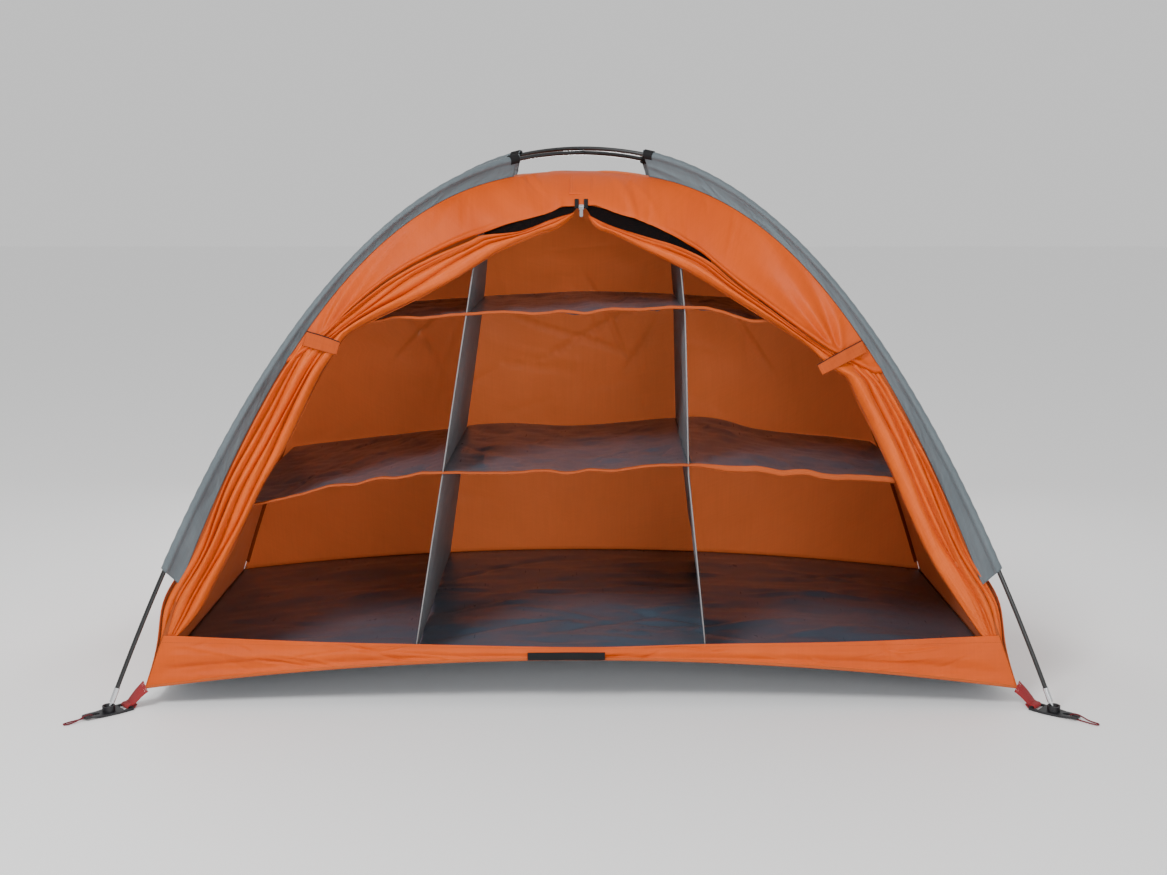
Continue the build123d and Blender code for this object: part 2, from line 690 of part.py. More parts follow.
def zip_puller():
    width, length, thick = PULLER
    pin_z = CLEAR + SLIDER[2] + PIN_UP
    gap = SLIDER[0] - 2 * LUG[0] - 2 * KNUCKLE_CLEARANCE
    knuckle = Rot(0, 90, 0) * Cylinder(KNUCKLE_R, gap)
    neck = Pos(0, -length / 2, 0) * Box(gap, length, thick)
    grip_length = length * GRIP_SHARE
    plate = neck + Pos(0, grip_length / 2 - length, 0) * Box(width, grip_length, thick)
    plate = fillet(plate.edges().filter_by(Axis.Z).sort_by(Axis.Y)[:2], ZIP_ROUND)
    whole = (knuckle + plate) - Rot(0, 90, 0) * Cylinder(PIN_R + KNUCKLE_CLEARANCE, gap + 2)
    return front_plane(0, SLIDER_Z * HEIGHTEN) * (Pos(0, 0, pin_z) * whole)


def zip_chain(side):
    """The end of one half of the zip beside the slider."""
    inner = SLIDER[0] / 2 + CLEAR
    x = side * (inner + ZIP_TAPE / 2)
    low, top = ZIP_TAPE_LOW * HEIGHTEN, ZIP_TAPE_TOP * HEIGHTEN
    box = Pos(x, 0, (top + low) / 2) * Box(ZIP_TAPE, FAR, top - low)
    return front_shell(2 * CLEAR + FLAP + MESH, CLEAR) & box & half_front()


def half_front():
    """The half space in front of the middle."""
    return Pos(0, -FAR / 2, 0) * Box(2 * FAR, FAR, 4 * BODY_HEIGHT)


def zip_flap():
    """The stitched flap that covers the zip's top end."""
    low, top = ZIP_TAPE_TOP * HEIGHTEN + CUT, FLAP_TOP_Z * HEIGHTEN
    box = Pos(0, 0, (low + top) / 2) * Box(2 * FLAP_HALF_WIDTH, FAR, top - low)
    return (front_shell(CLEAR + FLAP, CLEAR) & box) & half_front()


def tie_strap(side):
    x, z, length, width, dip = TIES[side]
    band = Rot(0, side * -dip, 0) * (Pos(-side * length / 2, 0, 0) * Box(length, FAR, width))
    outer = BUNDLE_OUT + CLEAR + TIE
    root = Pos(side * x * WIDEN, 0, z * HEIGHTEN)
    return front_shell(outer, outer - TIE) & (root * band) & half_front()


# ---- feet ----
def at_corner(shape, side_x, side_y):
    """A foot's piece, built along +X from the seat, put at its corner."""
    turn = degrees(atan2(side_y * sin(radians(FOOT_TURN)), side_x * cos(radians(FOOT_TURN))))
    return Pos(side_x * POLE_SPAN_X, side_y * POLE_SPAN_Y, 0) * (Rot(0, 0, turn) * shape)


def foot():
    """A moulded foot: a cup for the pole's tip, an eye for the peg loop, a slot and bar for the strap."""
    outline = make_face(Polyline(
        (-FOOT_IN, -FOOT_HALF_IN), (-CUP_R, -FOOT_HALF_IN), (FOOT_OUT, -FOOT_HALF_OUT),
        (FOOT_OUT, FOOT_HALF_OUT), (-CUP_R, FOOT_HALF_IN), (-FOOT_IN, FOOT_HALF_IN), close=True,
    ))
    outline = fillet(outline.vertices(), FOOT_CORNER_R)
    nose = EYE_CENTRE + EYE_LENGTH / 2
    ramp = EYE_CENTRE - EYE_LENGTH / 2
    side_view = make_face(Polyline(
        (-FOOT_IN - 1, 0, 0), (ramp, 0, 0), (nose, 0, NOSE_LOW_Z), (FOOT_OUT + 1, 0, NOSE_LOW_Z),
        (FOOT_OUT + 1, 0, NOSE_LOW_Z + NOSE_THICK), (nose, 0, NOSE_LOW_Z + NOSE_THICK),
        (ramp, 0, FOOT_THICK), (-FOOT_IN - 1, 0, FOOT_THICK), close=True,
    ))
    plate = extrude(outline, CUP_TOP_Z) & extrude(side_view, 2 * FOOT_HALF_IN, dir=(0, 1, 0), both=True)
    plate += extrude(Circle(CUP_R), CUP_TOP_Z)
    recess = make_face(Polyline(
        (0, 0, FOOT_THICK), (CUP_BOTTOM_R, 0, FOOT_THICK), (CUP_MOUTH_R, 0, CUP_TOP_Z + CUT_OVER),
        (0, 0, CUP_TOP_Z + CUT_OVER), close=True,
    ))
    plate -= revolve(recess, Axis.Z)
    plate -= Pos(EYE_CENTRE, 0, 0) * extrude(SlotOverall(EYE_LENGTH, EYE_WIDTH), CUP_TOP_Z)
    slot_x = -FOOT_IN + BAR + STRAP_SLOT / 2
    return plate - Pos(slot_x, 0, 0) * Box(STRAP_SLOT, STRAP_WIDTH + 2 * STRAP_ROOM, 4 * FOOT_THICK)


def corner_strap(side_x, side_y):
    """The webbing from the foot's bar up to the body's corner, a flat strip with a slight twist."""
    bar = Vector(side_x * POLE_SPAN_X, side_y * POLE_SPAN_Y, 0)
    along = Vector(side_x * cos(radians(FOOT_TURN)), side_y * sin(radians(FOOT_TURN)), 0)
    low = bar - along * FOOT_IN + Vector(0, 0, FOOT_THICK + STRAP)
    corner = Vector(side_x * HEM_HALF, side_y * HEM_HALF * SLOPE, HEM_CORNER_Z)
    reach = corner - low
    high = corner - reach.normalized() * STRAP_SHORT
    across_low = Vector(-along.Y, along.X, 0)
    flat = Vector(-side_x * reach.Y, side_x * reach.X, 0).normalized() * (1 if side_x * side_y > 0 else -1)
    across_high = flat if flat.dot(across_low) > 0 else flat * -1
    ends = []
    for point, across in ((low, across_low), (high, across_high)):
        onward = reach - across * reach.dot(across)
        ends.append(Plane(origin=point, x_dir=across, z_dir=onward) * Rectangle(STRAP_WIDTH, STRAP))
    return loft(ends, ruled=True)


def cord_tube(points, diameter):
    """A cord's tube: straight runs joined by arcs as large as the runs beside them allow."""
    vectors = [Vector(*p) for p in points]
    radii = []
    for a, b, c in zip(vectors, vectors[1:], vectors[2:]):
        turn = radians((b - a).get_angle(c - b))
        radii.append(ARC_SHARE * min((b - a).length, (c - b).length) / tan(turn / 2))
    print("cord radii", [round(r, 1) for r in radii])
    path = FilletPolyline(*vectors, radius=radii)
    print("cord length", round(path.length, 1))
    tube = rod(path, diameter / 2)
    straight = path.length * pi * diameter**2 / 4
    print("cord volume against section times length", round(tube.volume / straight, 4))
    return tube


# ---- all pieces ----
def build():
    nodes = {}
    all_ferrules, all_tips, all_cords = [], [], []
    for name, (height, turn) in POLES.items():
        sections, ferrules, tips, cord = make_pole(height, turn)
        for i, section in enumerate(sections, 1):
            nodes[f"pole_{name}_section_{i}"] = section
        all_ferrules += ferrules
        all_tips += tips
        all_cords.append(cord)
    nodes["pole_ferrules"] = Compound(all_ferrules)
    nodes["pole_tips"] = Compound(all_tips)
    nodes["shock_cords"] = Compound(all_cords)

    # pole a runs from the front left corner to the back right one, pole b from back left to front right
    ends = {
        "back_right": ("a", 0), "front_left": ("a", pi), "front_right": ("b", 0), "back_left": ("b", pi),
    }
    seam_tapes, sleeve_tapes = [], []
    for corner, (name, half_turn) in ends.items():
        height, turn = POLES[name]
        nodes[f"sleeve_{corner}"] = make_sleeve(height, turn + half_turn)
        sleeve_tapes.append(sleeve_tape(height, turn + half_turn))
        seam_tapes.append(seam_tape(turn + half_turn))
    nodes["sleeve_end_tapes"] = Compound(sleeve_tapes)
    nodes["seam_tapes"] = Compound(seam_tapes)

    nodes["front_panel"] = front_panel()
    nodes["front_sill"] = front_sill()
    nodes["sill_tab"] = sill_tab()
    for word, side in (("left", LEFT), ("right", RIGHT)):
        nodes[f"{word}_door"] = door(side)
        nodes[f"{word}_door_mesh"] = mesh_slit(side)
        nodes[f"{word}_zip_chain"] = zip_chain(side)
        nodes[f"{word}_tie_strap"] = tie_strap(side)
    nodes["right_wall"] = right_wall()
    nodes["left_wall"] = both_sides(right_wall())
    nodes["back_wall"] = back_wall()
    nodes["floor_sheet"] = floor_sheet()
    nodes["zip_flap"] = zip_flap()
    nodes["zip_slider"] = zip_slider()
    nodes["zip_puller"] = zip_puller()

    nodes["left_divider"] = divider(LEFT)
    nodes["right_divider"] = divider(RIGHT)
    for name in ("left", "centre", "right"):
        nodes[f"mid_shelf_{name}"] = shelf(MID_SHELF_Z, MID_SHELF_DROP, MID_SHELF_TILT, name)
        nodes[f"top_shelf_{name}"] = shelf(TOP_SHELF_Z, TOP_SHELF_DROP, TOP_SHELF_TILT, name)
    nodes["mid_shelf_binding"] = binding(MID_SHELF_Z, MID_SHELF_DROP, MID_SHELF_TILT)
    nodes["top_shelf_binding"] = binding(TOP_SHELF_Z, TOP_SHELF_DROP, TOP_SHELF_TILT)

    loop = cord_tube(LOOP_ROUTE, LOOP_D)
    plate = foot()
    for y_word, side_y in (("front", -1), ("back", 1)):
        for x_word, side_x in (("left", LEFT), ("right", RIGHT)):
            corner = f"{y_word}_{x_word}"
            nodes[f"foot_{corner}"] = at_corner(plate, side_x, side_y)
            nodes[f"corner_strap_{corner}"] = corner_strap(side_x, side_y)
            nodes[f"peg_loop_{corner}"] = at_corner(loop, side_x, side_y)
    return nodes


if __name__ == "__main__":
    os.makedirs("parts", exist_ok=True)
    for name, shape in build().items():
        export_step(shape, f"parts/{name}.step")
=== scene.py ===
# %% [markdown]
# # A small dome storage tent
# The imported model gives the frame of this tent: its poles, feet, panels and shelves at their real
# size, in metres, with the door facing -Y and +Z up. Everything made here is worked out from that
# frame, so nothing has to be fitted afterwards. We load it first and keep its box.

# %% Load the frame
import json

import bpy
import numpy as np
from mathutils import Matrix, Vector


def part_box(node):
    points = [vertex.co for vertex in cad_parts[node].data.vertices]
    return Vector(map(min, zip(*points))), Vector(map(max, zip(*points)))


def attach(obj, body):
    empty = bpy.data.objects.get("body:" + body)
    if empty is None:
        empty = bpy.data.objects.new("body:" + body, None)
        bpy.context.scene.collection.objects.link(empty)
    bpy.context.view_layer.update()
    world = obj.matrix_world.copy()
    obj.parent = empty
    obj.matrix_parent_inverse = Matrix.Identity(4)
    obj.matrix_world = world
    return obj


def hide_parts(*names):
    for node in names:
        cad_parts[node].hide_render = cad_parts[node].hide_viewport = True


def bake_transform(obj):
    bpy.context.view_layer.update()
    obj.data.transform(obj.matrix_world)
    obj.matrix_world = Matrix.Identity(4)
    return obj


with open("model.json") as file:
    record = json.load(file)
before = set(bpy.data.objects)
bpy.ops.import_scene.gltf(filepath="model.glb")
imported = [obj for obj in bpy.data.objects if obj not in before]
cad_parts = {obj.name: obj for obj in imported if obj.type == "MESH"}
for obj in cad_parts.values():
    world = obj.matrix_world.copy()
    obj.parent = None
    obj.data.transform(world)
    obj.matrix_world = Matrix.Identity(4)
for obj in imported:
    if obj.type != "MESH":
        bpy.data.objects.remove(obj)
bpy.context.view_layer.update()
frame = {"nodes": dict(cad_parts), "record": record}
rng = np.random.default_rng(7)
print("frame nodes:", len(frame["nodes"]))

# %% [markdown]
# ## Camera, light and floor
# A tent is looked at from a standing person's height, a little above its roof, so the camera looks
# slightly down. A long-ish lens keeps the poles from bowing. The light is a soft studio: a
# softbox high on the left, a wide low one in front, a small one behind the tent and a pale world,
# because taffeta shows its creases only under light that comes from a direction, and its colour
# only where light also comes through it.

# %% Camera
CAMERA_PLACE = (0.004, -2.719, 0.9447)
CAMERA_TILT = np.radians(90 - 11.0)
LENS_MM = 43.2


def put(name, data):
    """A new object in the scene, made from its data."""
    thing = bpy.data.objects.new(name, data)
    bpy.context.scene.collection.objects.link(thing)
    return thing


lens = bpy.data.cameras.new("camera")
lens.lens = LENS_MM
lens.sensor_width = 36.0
camera = put("camera", lens)
camera.location = CAMERA_PLACE
camera.rotation_euler = (CAMERA_TILT, 0, 0)
bpy.context.scene.camera = camera
print("camera at", tuple(camera.location))

# %% Lights, world and floor
SKY_STRENGTH = 0.82
FLOOR_HALF, FLOOR_Z = 14.0, -0.0006


def area_light(name, place, aim, size, power):
    """A square softbox at place, facing aim."""
    data = bpy.data.lights.new(name, "AREA")
    data.size = size
    data.energy = power
    lamp = put(name, data)
    lamp.location = place
    away = np.subtract(place, aim)
    lamp.rotation_euler = (
        np.arctan2(np.hypot(away[0], away[1]), away[2]), 0, np.arctan2(away[0], -away[1]),
    )


area_light("key", (-1.5, -2.4, 2.9), (0, 0, 0.4), 0.9, 98)
area_light("fill", (1.0, -3.2, 0.9), (0, 0, 0.35), 1.4, 40)
area_light("through", (0.03, 1.35, 0.66), (0, 0.2, 0.5), 0.5, 20)
world = bpy.data.worlds.new("studio")
bpy.context.scene.world = world
world.use_nodes = True
sky = world.node_tree.nodes["Background"]
sky.inputs["Color"].default_value = (1, 1, 1, 1)
sky.inputs["Strength"].default_value = SKY_STRENGTH


def make_floor():
    """A wide pale floor just under the feet."""
    corners = [(x * FLOOR_HALF, y * FLOOR_HALF, FLOOR_Z) for x, y in ((-1, -1), (1, -1), (1, 1), (-1, 1))]
    mesh = bpy.data.meshes.new("studio_floor")
    mesh.from_pydata(corners, [], [(0, 1, 2, 3)])
    paint = bpy.data.materials.new("studio_floor_paint")
    paint.use_nodes = True
    paint.node_tree.nodes["Principled BSDF"].inputs["Base Color"].default_value = (0.93, 0.93, 0.93, 1.0)
    mesh.materials.append(paint)
    put("studio_floor", mesh)


make_floor()
print("floor and lights made")

# %% [markdown]
# ## Two helpers for materials
# A material here is arithmetic on fields: a stripe, a weave or a stain is a number at each point.
# `Field` wraps a socket, so that `1 - mask * 0.5` adds the Math nodes by itself. `Shader.add` makes
# any other node from its type, its settings and its sockets. Patterns read Object coordinates, or
# the piece's own UV map, which is laid out in metres along the cloth.

# %% Field and Shader
class Field:
    """A number over the surface: a socket that can be added, multiplied and so on."""

    def __init__(self, tree, socket):
        self.tree, self.socket = tree, socket

    def maths(self, operation, a, b):
        node = self.tree.nodes.new("ShaderNodeMath")
        node.operation = operation
        for socket, value in zip(node.inputs, (a, b)):
            if isinstance(value, Field):
                self.tree.links.new(value.socket, socket)
            else:
                socket.default_value = value
        return Field(self.tree, node.outputs[0])

    def __add__(self, other):
        return self.maths("ADD", self, other)

    def __sub__(self, other):
        return self.maths("SUBTRACT", self, other)

    def __mul__(self, other):
        return self.maths("MULTIPLY", self, other)

    def __rsub__(self, other):
        return self.maths("SUBTRACT", other, self)

    def __pow__(self, other):
        return self.maths("POWER", self, other)

    def __gt__(self, other):
        return self.maths("GREATER_THAN", self, other)

    def sine(self):
        return self.maths("SINE", self, 0)

    def size(self):
        return self.maths("ABSOLUTE", self, 0)

    __radd__ = __add__
    __rmul__ = __mul__


class Shader:
    """A material with one Principled surface, built node by node."""

    def __init__(self, name, **plain):
        self.material = bpy.data.materials.new(name)
        self.material.use_nodes = True
        self.tree = self.material.node_tree
        self.surface = self.tree.nodes["Principled BSDF"]
        for socket, value in plain.items():
            self.surface.inputs[socket.replace("_", " ")].default_value = value

    def add(self, kind, output=0, settings=(), **sockets):
        """A node of this kind: its settings are set first, then its sockets are filled or linked."""
        node = self.tree.nodes.new("ShaderNode" + kind)
        for key, value in dict(settings).items():
            if key == "stops":
                ramp = node.color_ramp.elements
                for place, colour in value[2:]:
                    ramp.new(place)
                for element, (place, colour) in zip(sorted(ramp, key=lambda e: e.position), sorted(value)):
                    element.position = place
                    element.color = colour
            else:
                setattr(node, key, value)
        for key, value in sockets.items():
            live = [s for s in node.inputs if s.enabled]
            socket = live[int(key)] if key.isdigit() else [s for s in live if s.name == key.replace("_", " ")][0]
            if isinstance(value, Field):
                self.tree.links.new(value.socket, socket)
            else:
                socket.default_value = value
        return Field(self.tree, node.outputs[output])

    def place(self, scale=(1, 1, 1), uv=False, turn=(0, 0, 0)):
        """Coordinates, in metres, stretched and turned."""
        node = self.tree.nodes.new("ShaderNodeTexCoord")
        source = Field(self.tree, node.outputs["UV" if uv else "Object"])
        return self.add("Mapping", Vector=source, Scale=scale, Rotation=turn)

    def parts(self, vector):
        """The x, y and z fields of a vector."""
        node = self.tree.nodes.new("ShaderNodeSeparateXYZ")
        self.tree.links.new(vector.socket, node.inputs[0])
        return [Field(self.tree, s) for s in node.outputs]

    def noise(self, scale, where, detail=3.0, rough=0.55):
        return self.add("TexNoise", Vector=where, Scale=scale, Detail=detail, Roughness=rough)

    def mix(self, factor, a, b, way="MIX"):
        """Colour a where factor is 0 and b where it is 1."""
        node = self.tree.nodes.new("ShaderNodeMix")
        node.data_type = "RGBA"
        node.blend_type = way
        for index, value in ((0, factor), (6, a), (7, b)):
            if isinstance(value, Field):
                self.tree.links.new(value.socket, node.inputs[index])
            else:
                node.inputs[index].default_value = value
        return Field(self.tree, node.outputs[2])

    def bump(self, height, distance, strength=1.0, under=None):
        links = {"Height": height, "Distance": distance, "Strength": strength}
        if under is not None:
            links["Normal"] = under
        return self.add("Bump", **links)

    def feed(self, **fields):
        """Fields into the surface's own sockets."""
        for name, field in fields.items():
            self.tree.links.new(field.socket, self.surface.inputs[name.replace("_", " ")])
        return self


def rgb(code):
    """A linear colour from a paint code such as d2703a."""
    channels = [int(code[i : i + 2], 16) / 255 for i in (0, 2, 4)]
    linear = [c / 12.92 if c <= 0.04045 else ((c + 0.055) / 1.055) ** 2.4 for c in channels]
    return (*linear, 1.0)


print("helpers ready; mid grey is", round(rgb("808080")[0], 3))

# %% [markdown]
# ## The cloths
# Taffeta is a plain weave of fine shiny threads: from close by it is a grid of tiny bumps, from afar
# a soft sheen. Its pattern follows the cloth, so it reads the UV map, in metres. Light comes through
# a thin cloth, so a share of most cloths is a Translucent shader beside the Principled one.

# %% Woven cloth
def weave_height(shader, threads_per_metre, uv=True):
    """Plain weave: two crossed waves, sin(a) * sin(b), over the cloth's own directions."""
    u, v, _ = shader.parts(shader.place(uv=uv))
    turn = 2 * np.pi * threads_per_metre
    return (u * turn).sine() * (v * turn).sine()


def let_through(shader, colour, share):
    """Mix in a Translucent shader, for the light that comes through the cloth."""
    tree = shader.tree
    through = tree.nodes.new("ShaderNodeBsdfTranslucent")
    if isinstance(colour, Field):
        tree.links.new(colour.socket, through.inputs["Color"])
    else:
        through.inputs["Color"].default_value = colour
    both = tree.nodes.new("ShaderNodeMixShader")
    both.inputs[0].default_value = share
    tree.links.new(shader.surface.outputs[0], both.inputs[1])
    tree.links.new(through.outputs[0], both.inputs[2])
    tree.links.new(both.outputs[0], tree.nodes["Material Output"].inputs["Surface"])


def cloth(name, light, dark, rough=0.5, sheen=0.3, through=0.0, glow=None, threads=900.0, weave=0.00012, coat=0.0):
    """A woven cloth with uneven dye, fine slubs along the threads, a weave and small crumples."""
    s = Shader(
        name, Sheen_Weight=sheen, Sheen_Roughness=0.4, Coat_Weight=coat, Coat_Roughness=0.35, Specular_IOR_Level=0.28,
    )
    here = s.place(uv=True)
    broad = s.noise(5.0, here, 4.0)
    slub = s.noise(260.0, s.place(scale=(1.0, 0.04, 1.0), uv=True), 2.0)
    across = s.noise(240.0, s.place(scale=(0.05, 1.0, 1.0), uv=True), 2.0)
    tone = broad * 0.55 + slub * 0.25 + across * 0.2
    stops = [(0.3, rgb(dark)), (0.68, rgb(light))]
    colour = s.add("ValToRGB", settings={"stops": stops}, Fac=tone)
    crumple = s.noise(38.0, here, 5.0, 0.6)
    relief = s.bump(crumple, 0.0012, 0.35)
    relief = s.bump(weave_height(s, threads), weave, 0.5, under=relief)
    s.feed(Base_Color=colour, Roughness=(slub - 0.5) * 0.16 + (crumple - 0.5) * 0.2 + rough, Normal=relief)
    if through:
        let_through(s, rgb(glow) if glow else colour, through)
    return s.material


ORANGE = cloth("orange taffeta", "e8640f", "d0520a", rough=0.4, sheen=0.05, through=0.36, glow="f2a878")
# The walls' copy of this taffeta is painted lighter and paler than the visor's, with a paler light through it:
# painted light, against the deep orange that light bounced inside the tent gives.
WALL_ORANGE_PAINTED_LIGHTER = cloth("orange taffeta, wall, painted lighter", "e4763a", "cd6229", rough=0.42, sheen=0.05, through=0.27, glow="f4b890")
ORANGE_DOOR = cloth("orange taffeta, gathered", "e86818", "cb500c", rough=0.38, sheen=0.05, through=0.18)
# Binding tape for the hems and the shelves' edges: the tape is real, its colour darker than the cloth is painted
# shade.
ORANGE_TAPE_AND_SHADE = cloth("orange binding, darkened as painted shade", "b4511a", "96400f", rough=0.65, sheen=0.0, threads=500)
GREY = cloth("grey taffeta", "667075", "545d62", rough=0.42, sheen=0.15, through=0.1)
PALE_GREY = cloth("pale grey taffeta", "7d8186", "686c71", rough=0.45, sheen=0.05, through=0.25, glow="a8a8aa")
PALE_EDGE = cloth("pale grey edge", "8c8b8c", "777677", rough=0.6, sheen=0.05, threads=500)
COATED = cloth("dark coated cloth", "4b5664", "414b57", rough=0.32, sheen=0.03, coat=0.5, weave=0.00005)
# Seam tape is real, but this darker colour is painted shade: the shadow of the sleeves outside, seen through the wall
# at the corners.
SEAM_BINDING_AND_SHADE = cloth("seam binding, darkened as painted shade", "a04a1c", "84380f", rough=0.7, sheen=0.0, threads=700)
BLACK_TAPE = cloth("black tape", "141416", "0a0a0b", rough=0.8, sheen=0.0, threads=700)
print("cloths:", len(bpy.data.materials))

# %% [markdown]
# ## The other finishes
# The poles are wound glass fibre under a clear skin: near black, with one thin hard highlight. Their
# ends are turned metal. The feet are moulded in black plastic with a fine spark texture. Webbing is
# a coarse ribbed weave, cord a fine braid, and the door's mesh is mostly holes, which are filled
# four-fifths with black as painted shade.

# %% Hard materials
def plain_finish(name, colour, rough, metal=0.0, speckle=0.0, grain=900.0, depth=0.00005, coat=0.0, streak=1.0):
    """One colour with a fine grain in its roughness and relief; streak stretches the grain along Z."""
    s = Shader(name, Metallic=metal, Coat_Weight=coat, Coat_Roughness=0.12)
    where = s.place(scale=(1.0, 1.0, streak))
    grains = s.noise(grain, where, 2.0)
    worn = s.noise(35.0, s.place(), 4.0)
    dark = tuple(c * (1 - speckle) for c in rgb(colour)[:3]) + (1.0,)
    base = s.mix(grains, dark, rgb(colour))
    s.feed(Base_Color=base, Roughness=(grains - 0.5) * 0.15 + (worn - 0.5) * 0.2 + rough)
    s.feed(Normal=s.bump(grains, depth, 0.4))
    return s.material


FIBREGLASS = plain_finish("black glass fibre", "0c0d0f", 0.3, speckle=0.5, grain=600, coat=0.3, streak=0.1)
TURNED_METAL = plain_finish("turned metal", "d9dbde", 0.24, metal=1.0, speckle=0.12, grain=1400, streak=0.2)
PLATED_ZINC = plain_finish("plated zinc", "c9cbd0", 0.22, metal=1.0, speckle=0.15, grain=1500)
MOULDED = plain_finish("moulded black plastic", "131318", 0.46, speckle=0.25, grain=1300, depth=0.00012)
ZIP_COIL = plain_finish("zip coil", "1a1a1c", 0.3, speckle=0.2, grain=900)


def webbing(name, light, dark, rib=0.0016):
    """Ribbed webbing: chevron ribs across its width and a fine weave along it, over the UV map."""
    s = Shader(name, Sheen_Weight=0.05, Sheen_Roughness=0.35)
    u, v, _ = s.parts(s.place(uv=True))
    ribs = (v * (2 * np.pi / rib) + (u * (2 * np.pi / (4 * rib))).sine() * 1.2).sine()
    threads = (u * (2 * np.pi / 0.0009)).sine()
    fuzz = s.noise(700.0, s.place(uv=True), 3.0)
    height = ribs * 0.6 + threads * 0.25 + fuzz * 0.5
    # The colour follows the rib height, darker in the valleys and lighter on the ridges: painted shade, with random
    # fibre tone from the fuzz.
    colour = s.add("ValToRGB", settings={"stops": [(0.15, rgb(dark)), (0.75, rgb(light))]}, Fac=height * 0.5 + 0.3)
    s.feed(Base_Color=colour, Roughness=fuzz * 0.2 + 0.5, Normal=s.bump(height, 0.0004, 0.7))
    return s.material


RED_WEBBING = webbing("red webbing", "a80614", "6e020a")
RED_CORD = webbing("red braided cord", "8c1026", "4a0814", rib=0.0011)
TIE_WEAVE = cloth("orange tie", "bc4d10", "9a3c0a", rough=0.8, sheen=0.0, threads=800)


def mesh_material():
    """Insect mesh: threads where either crossed wave is high, holes where both are low; the holes stay four-fifths
    opaque black, painted shade.
    """
    s = Shader("black door mesh", Roughness=0.95, Specular_IOR_Level=0.1)
    u, v, _ = s.parts(s.place(uv=True))
    pitch = 2 * np.pi / 0.0022
    along, across = (u * pitch).sine().size(), (v * pitch).sine().size()
    threads = s.add("Math", settings={"operation": "MAXIMUM"}, **{"0": along, "1": across})
    tone = s.noise(90.0, s.place(uv=True))
    # The holes keep four-fifths of the black: painted shade of the gap behind the visor.
    s.feed(Base_Color=s.mix(tone, rgb("020203"), rgb("0b0b0c")), Alpha=(threads > 0.45) * 0.2 + 0.8)
    return s.material


DOOR_MESH_AND_SHADE = mesh_material()
print("finishes:", len(bpy.data.materials))

# %% [markdown]
# ## The shape of the tent
# Two poles cross at the top. Under each pole runs a seam, and between the seams four panels hang,
# each curved one way only, like a sheet bent over two arches. Seen from the door, a seam is at
# x = W (1 - z / H) ^ (1 / P). With s from 0 at the crown to 1 at the ground, a panel's point is
# (v W s, D s, H (1 - s ^ P)), where v runs from -1 to 1 between its two seams.

# %% Driving sizes, from the frame
SWIVELS = {j["child"]: j for j in frame["record"]["behaviour"]["joints"] if j["child"].startswith("foot_")}
SEAT_X, SEAT_Y, SEAT_Z = SWIVELS["foot_back_right"]["pos_m"]
SLOPE = SEAT_Y / SEAT_X
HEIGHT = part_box("back_wall")[1][2]
SEAM_POWER, POLE_POWER = 2.57, 2.3
HALF_WIDTH = 0.785
HALF_DEPTH = HALF_WIDTH * SLOPE
POLE_R = 0.00395
POLE_TOPS = {name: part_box(f"pole_{name}_section_3")[1][2] - POLE_R for name in "ab"}
HEM_CENTRE, HEM_CORNER, HEM_HALF = 0.085, 0.035, 0.7746
LEFT, RIGHT = -1, 1
SIDE_NAMES = {LEFT: "left", RIGHT: "right"}
print("slope of the diagonals", round(SLOPE, 3), "crown", round(HEIGHT, 3), "poles", POLE_TOPS)


def xyz(x, y, z):
    """Points from their coordinates, which may be numbers, rows, columns or grids."""
    return np.stack(np.broadcast_arrays(x, y, z), axis=-1)


def hem_z(x):
    """The hem's height: a shallow arch, highest in the middle."""
    return HEM_CENTRE - (HEM_CENTRE - HEM_CORNER) * (x / HEM_HALF) ** 2


def share_at(z):
    """The share s at a height: the panel formula turned round."""
    return np.clip(1 - np.asarray(z) / HEIGHT, 0, 1) ** (1 / SEAM_POWER)


def height_at(s):
    """The height of a panel at a share."""
    return HEIGHT * (1 - s**SEAM_POWER)


def half_base(which):
    """Half the size of a panel's base along it, and its distance from the middle."""
    return (HALF_WIDTH, HALF_DEPTH) if which in ("front", "back") else (HALF_DEPTH, HALF_WIDTH)


def on_panel(which, along, s, out=0.0):
    """A point of the front, back, left or right panel: along is x or y, s the share, out the offset."""
    half = half_base(which)[1]
    steep = HEIGHT * SEAM_POWER * s ** (SEAM_POWER - 1)
    size = np.hypot(steep, half)
    away = half * s + out * steep / size
    z = height_at(s) + out * half / size
    x, y = {"front": (along, -away), "back": (along, away), "left": (-away, along), "right": (away, along)}[which]
    return xyz(x, y, z)


def front(x, z, out=0.0):
    """A point of the front surface under this place of the front view."""
    return on_panel("front", x, share_at(z), out)


# %% [markdown]
# ## Turning a grid of points into cloth
# A piece of cloth is a grid of points, rows by columns. Its UV map is measured along the grid, in
# metres, so that a weave keeps its size however the cloth is bent. A Solidify modifier then gives
# it the thickness of doubled cloth.

# %% Grid to mesh
CURVE_STEPS = 24


def unit(way):
    """The same directions, each of length 1."""
    return way / np.linalg.norm(way, axis=-1, keepdims=True)


def square_to(line, way):
    """Directions way without their share along line, each of length 1."""
    return unit(way - line * np.sum(way * line, axis=-1, keepdims=True))


def lengths(points, axis):
    """Distance run along one axis of the grid, from its start to each point."""
    steps = np.linalg.norm(np.diff(points, axis=axis), axis=-1)
    start = np.zeros_like(np.take(steps, [0], axis=axis))
    return np.concatenate([start, np.cumsum(steps, axis=axis)], axis=axis)


def cloth_uv(points):
    """UV in metres, measured from the middle row and column so that it is even over the piece."""
    rows, columns = points.shape[:2]
    down, across = lengths(points, 0), lengths(points, 1)
    u = across - across[:, columns // 2 : columns // 2 + 1]
    return np.stack([u, down], axis=-1)


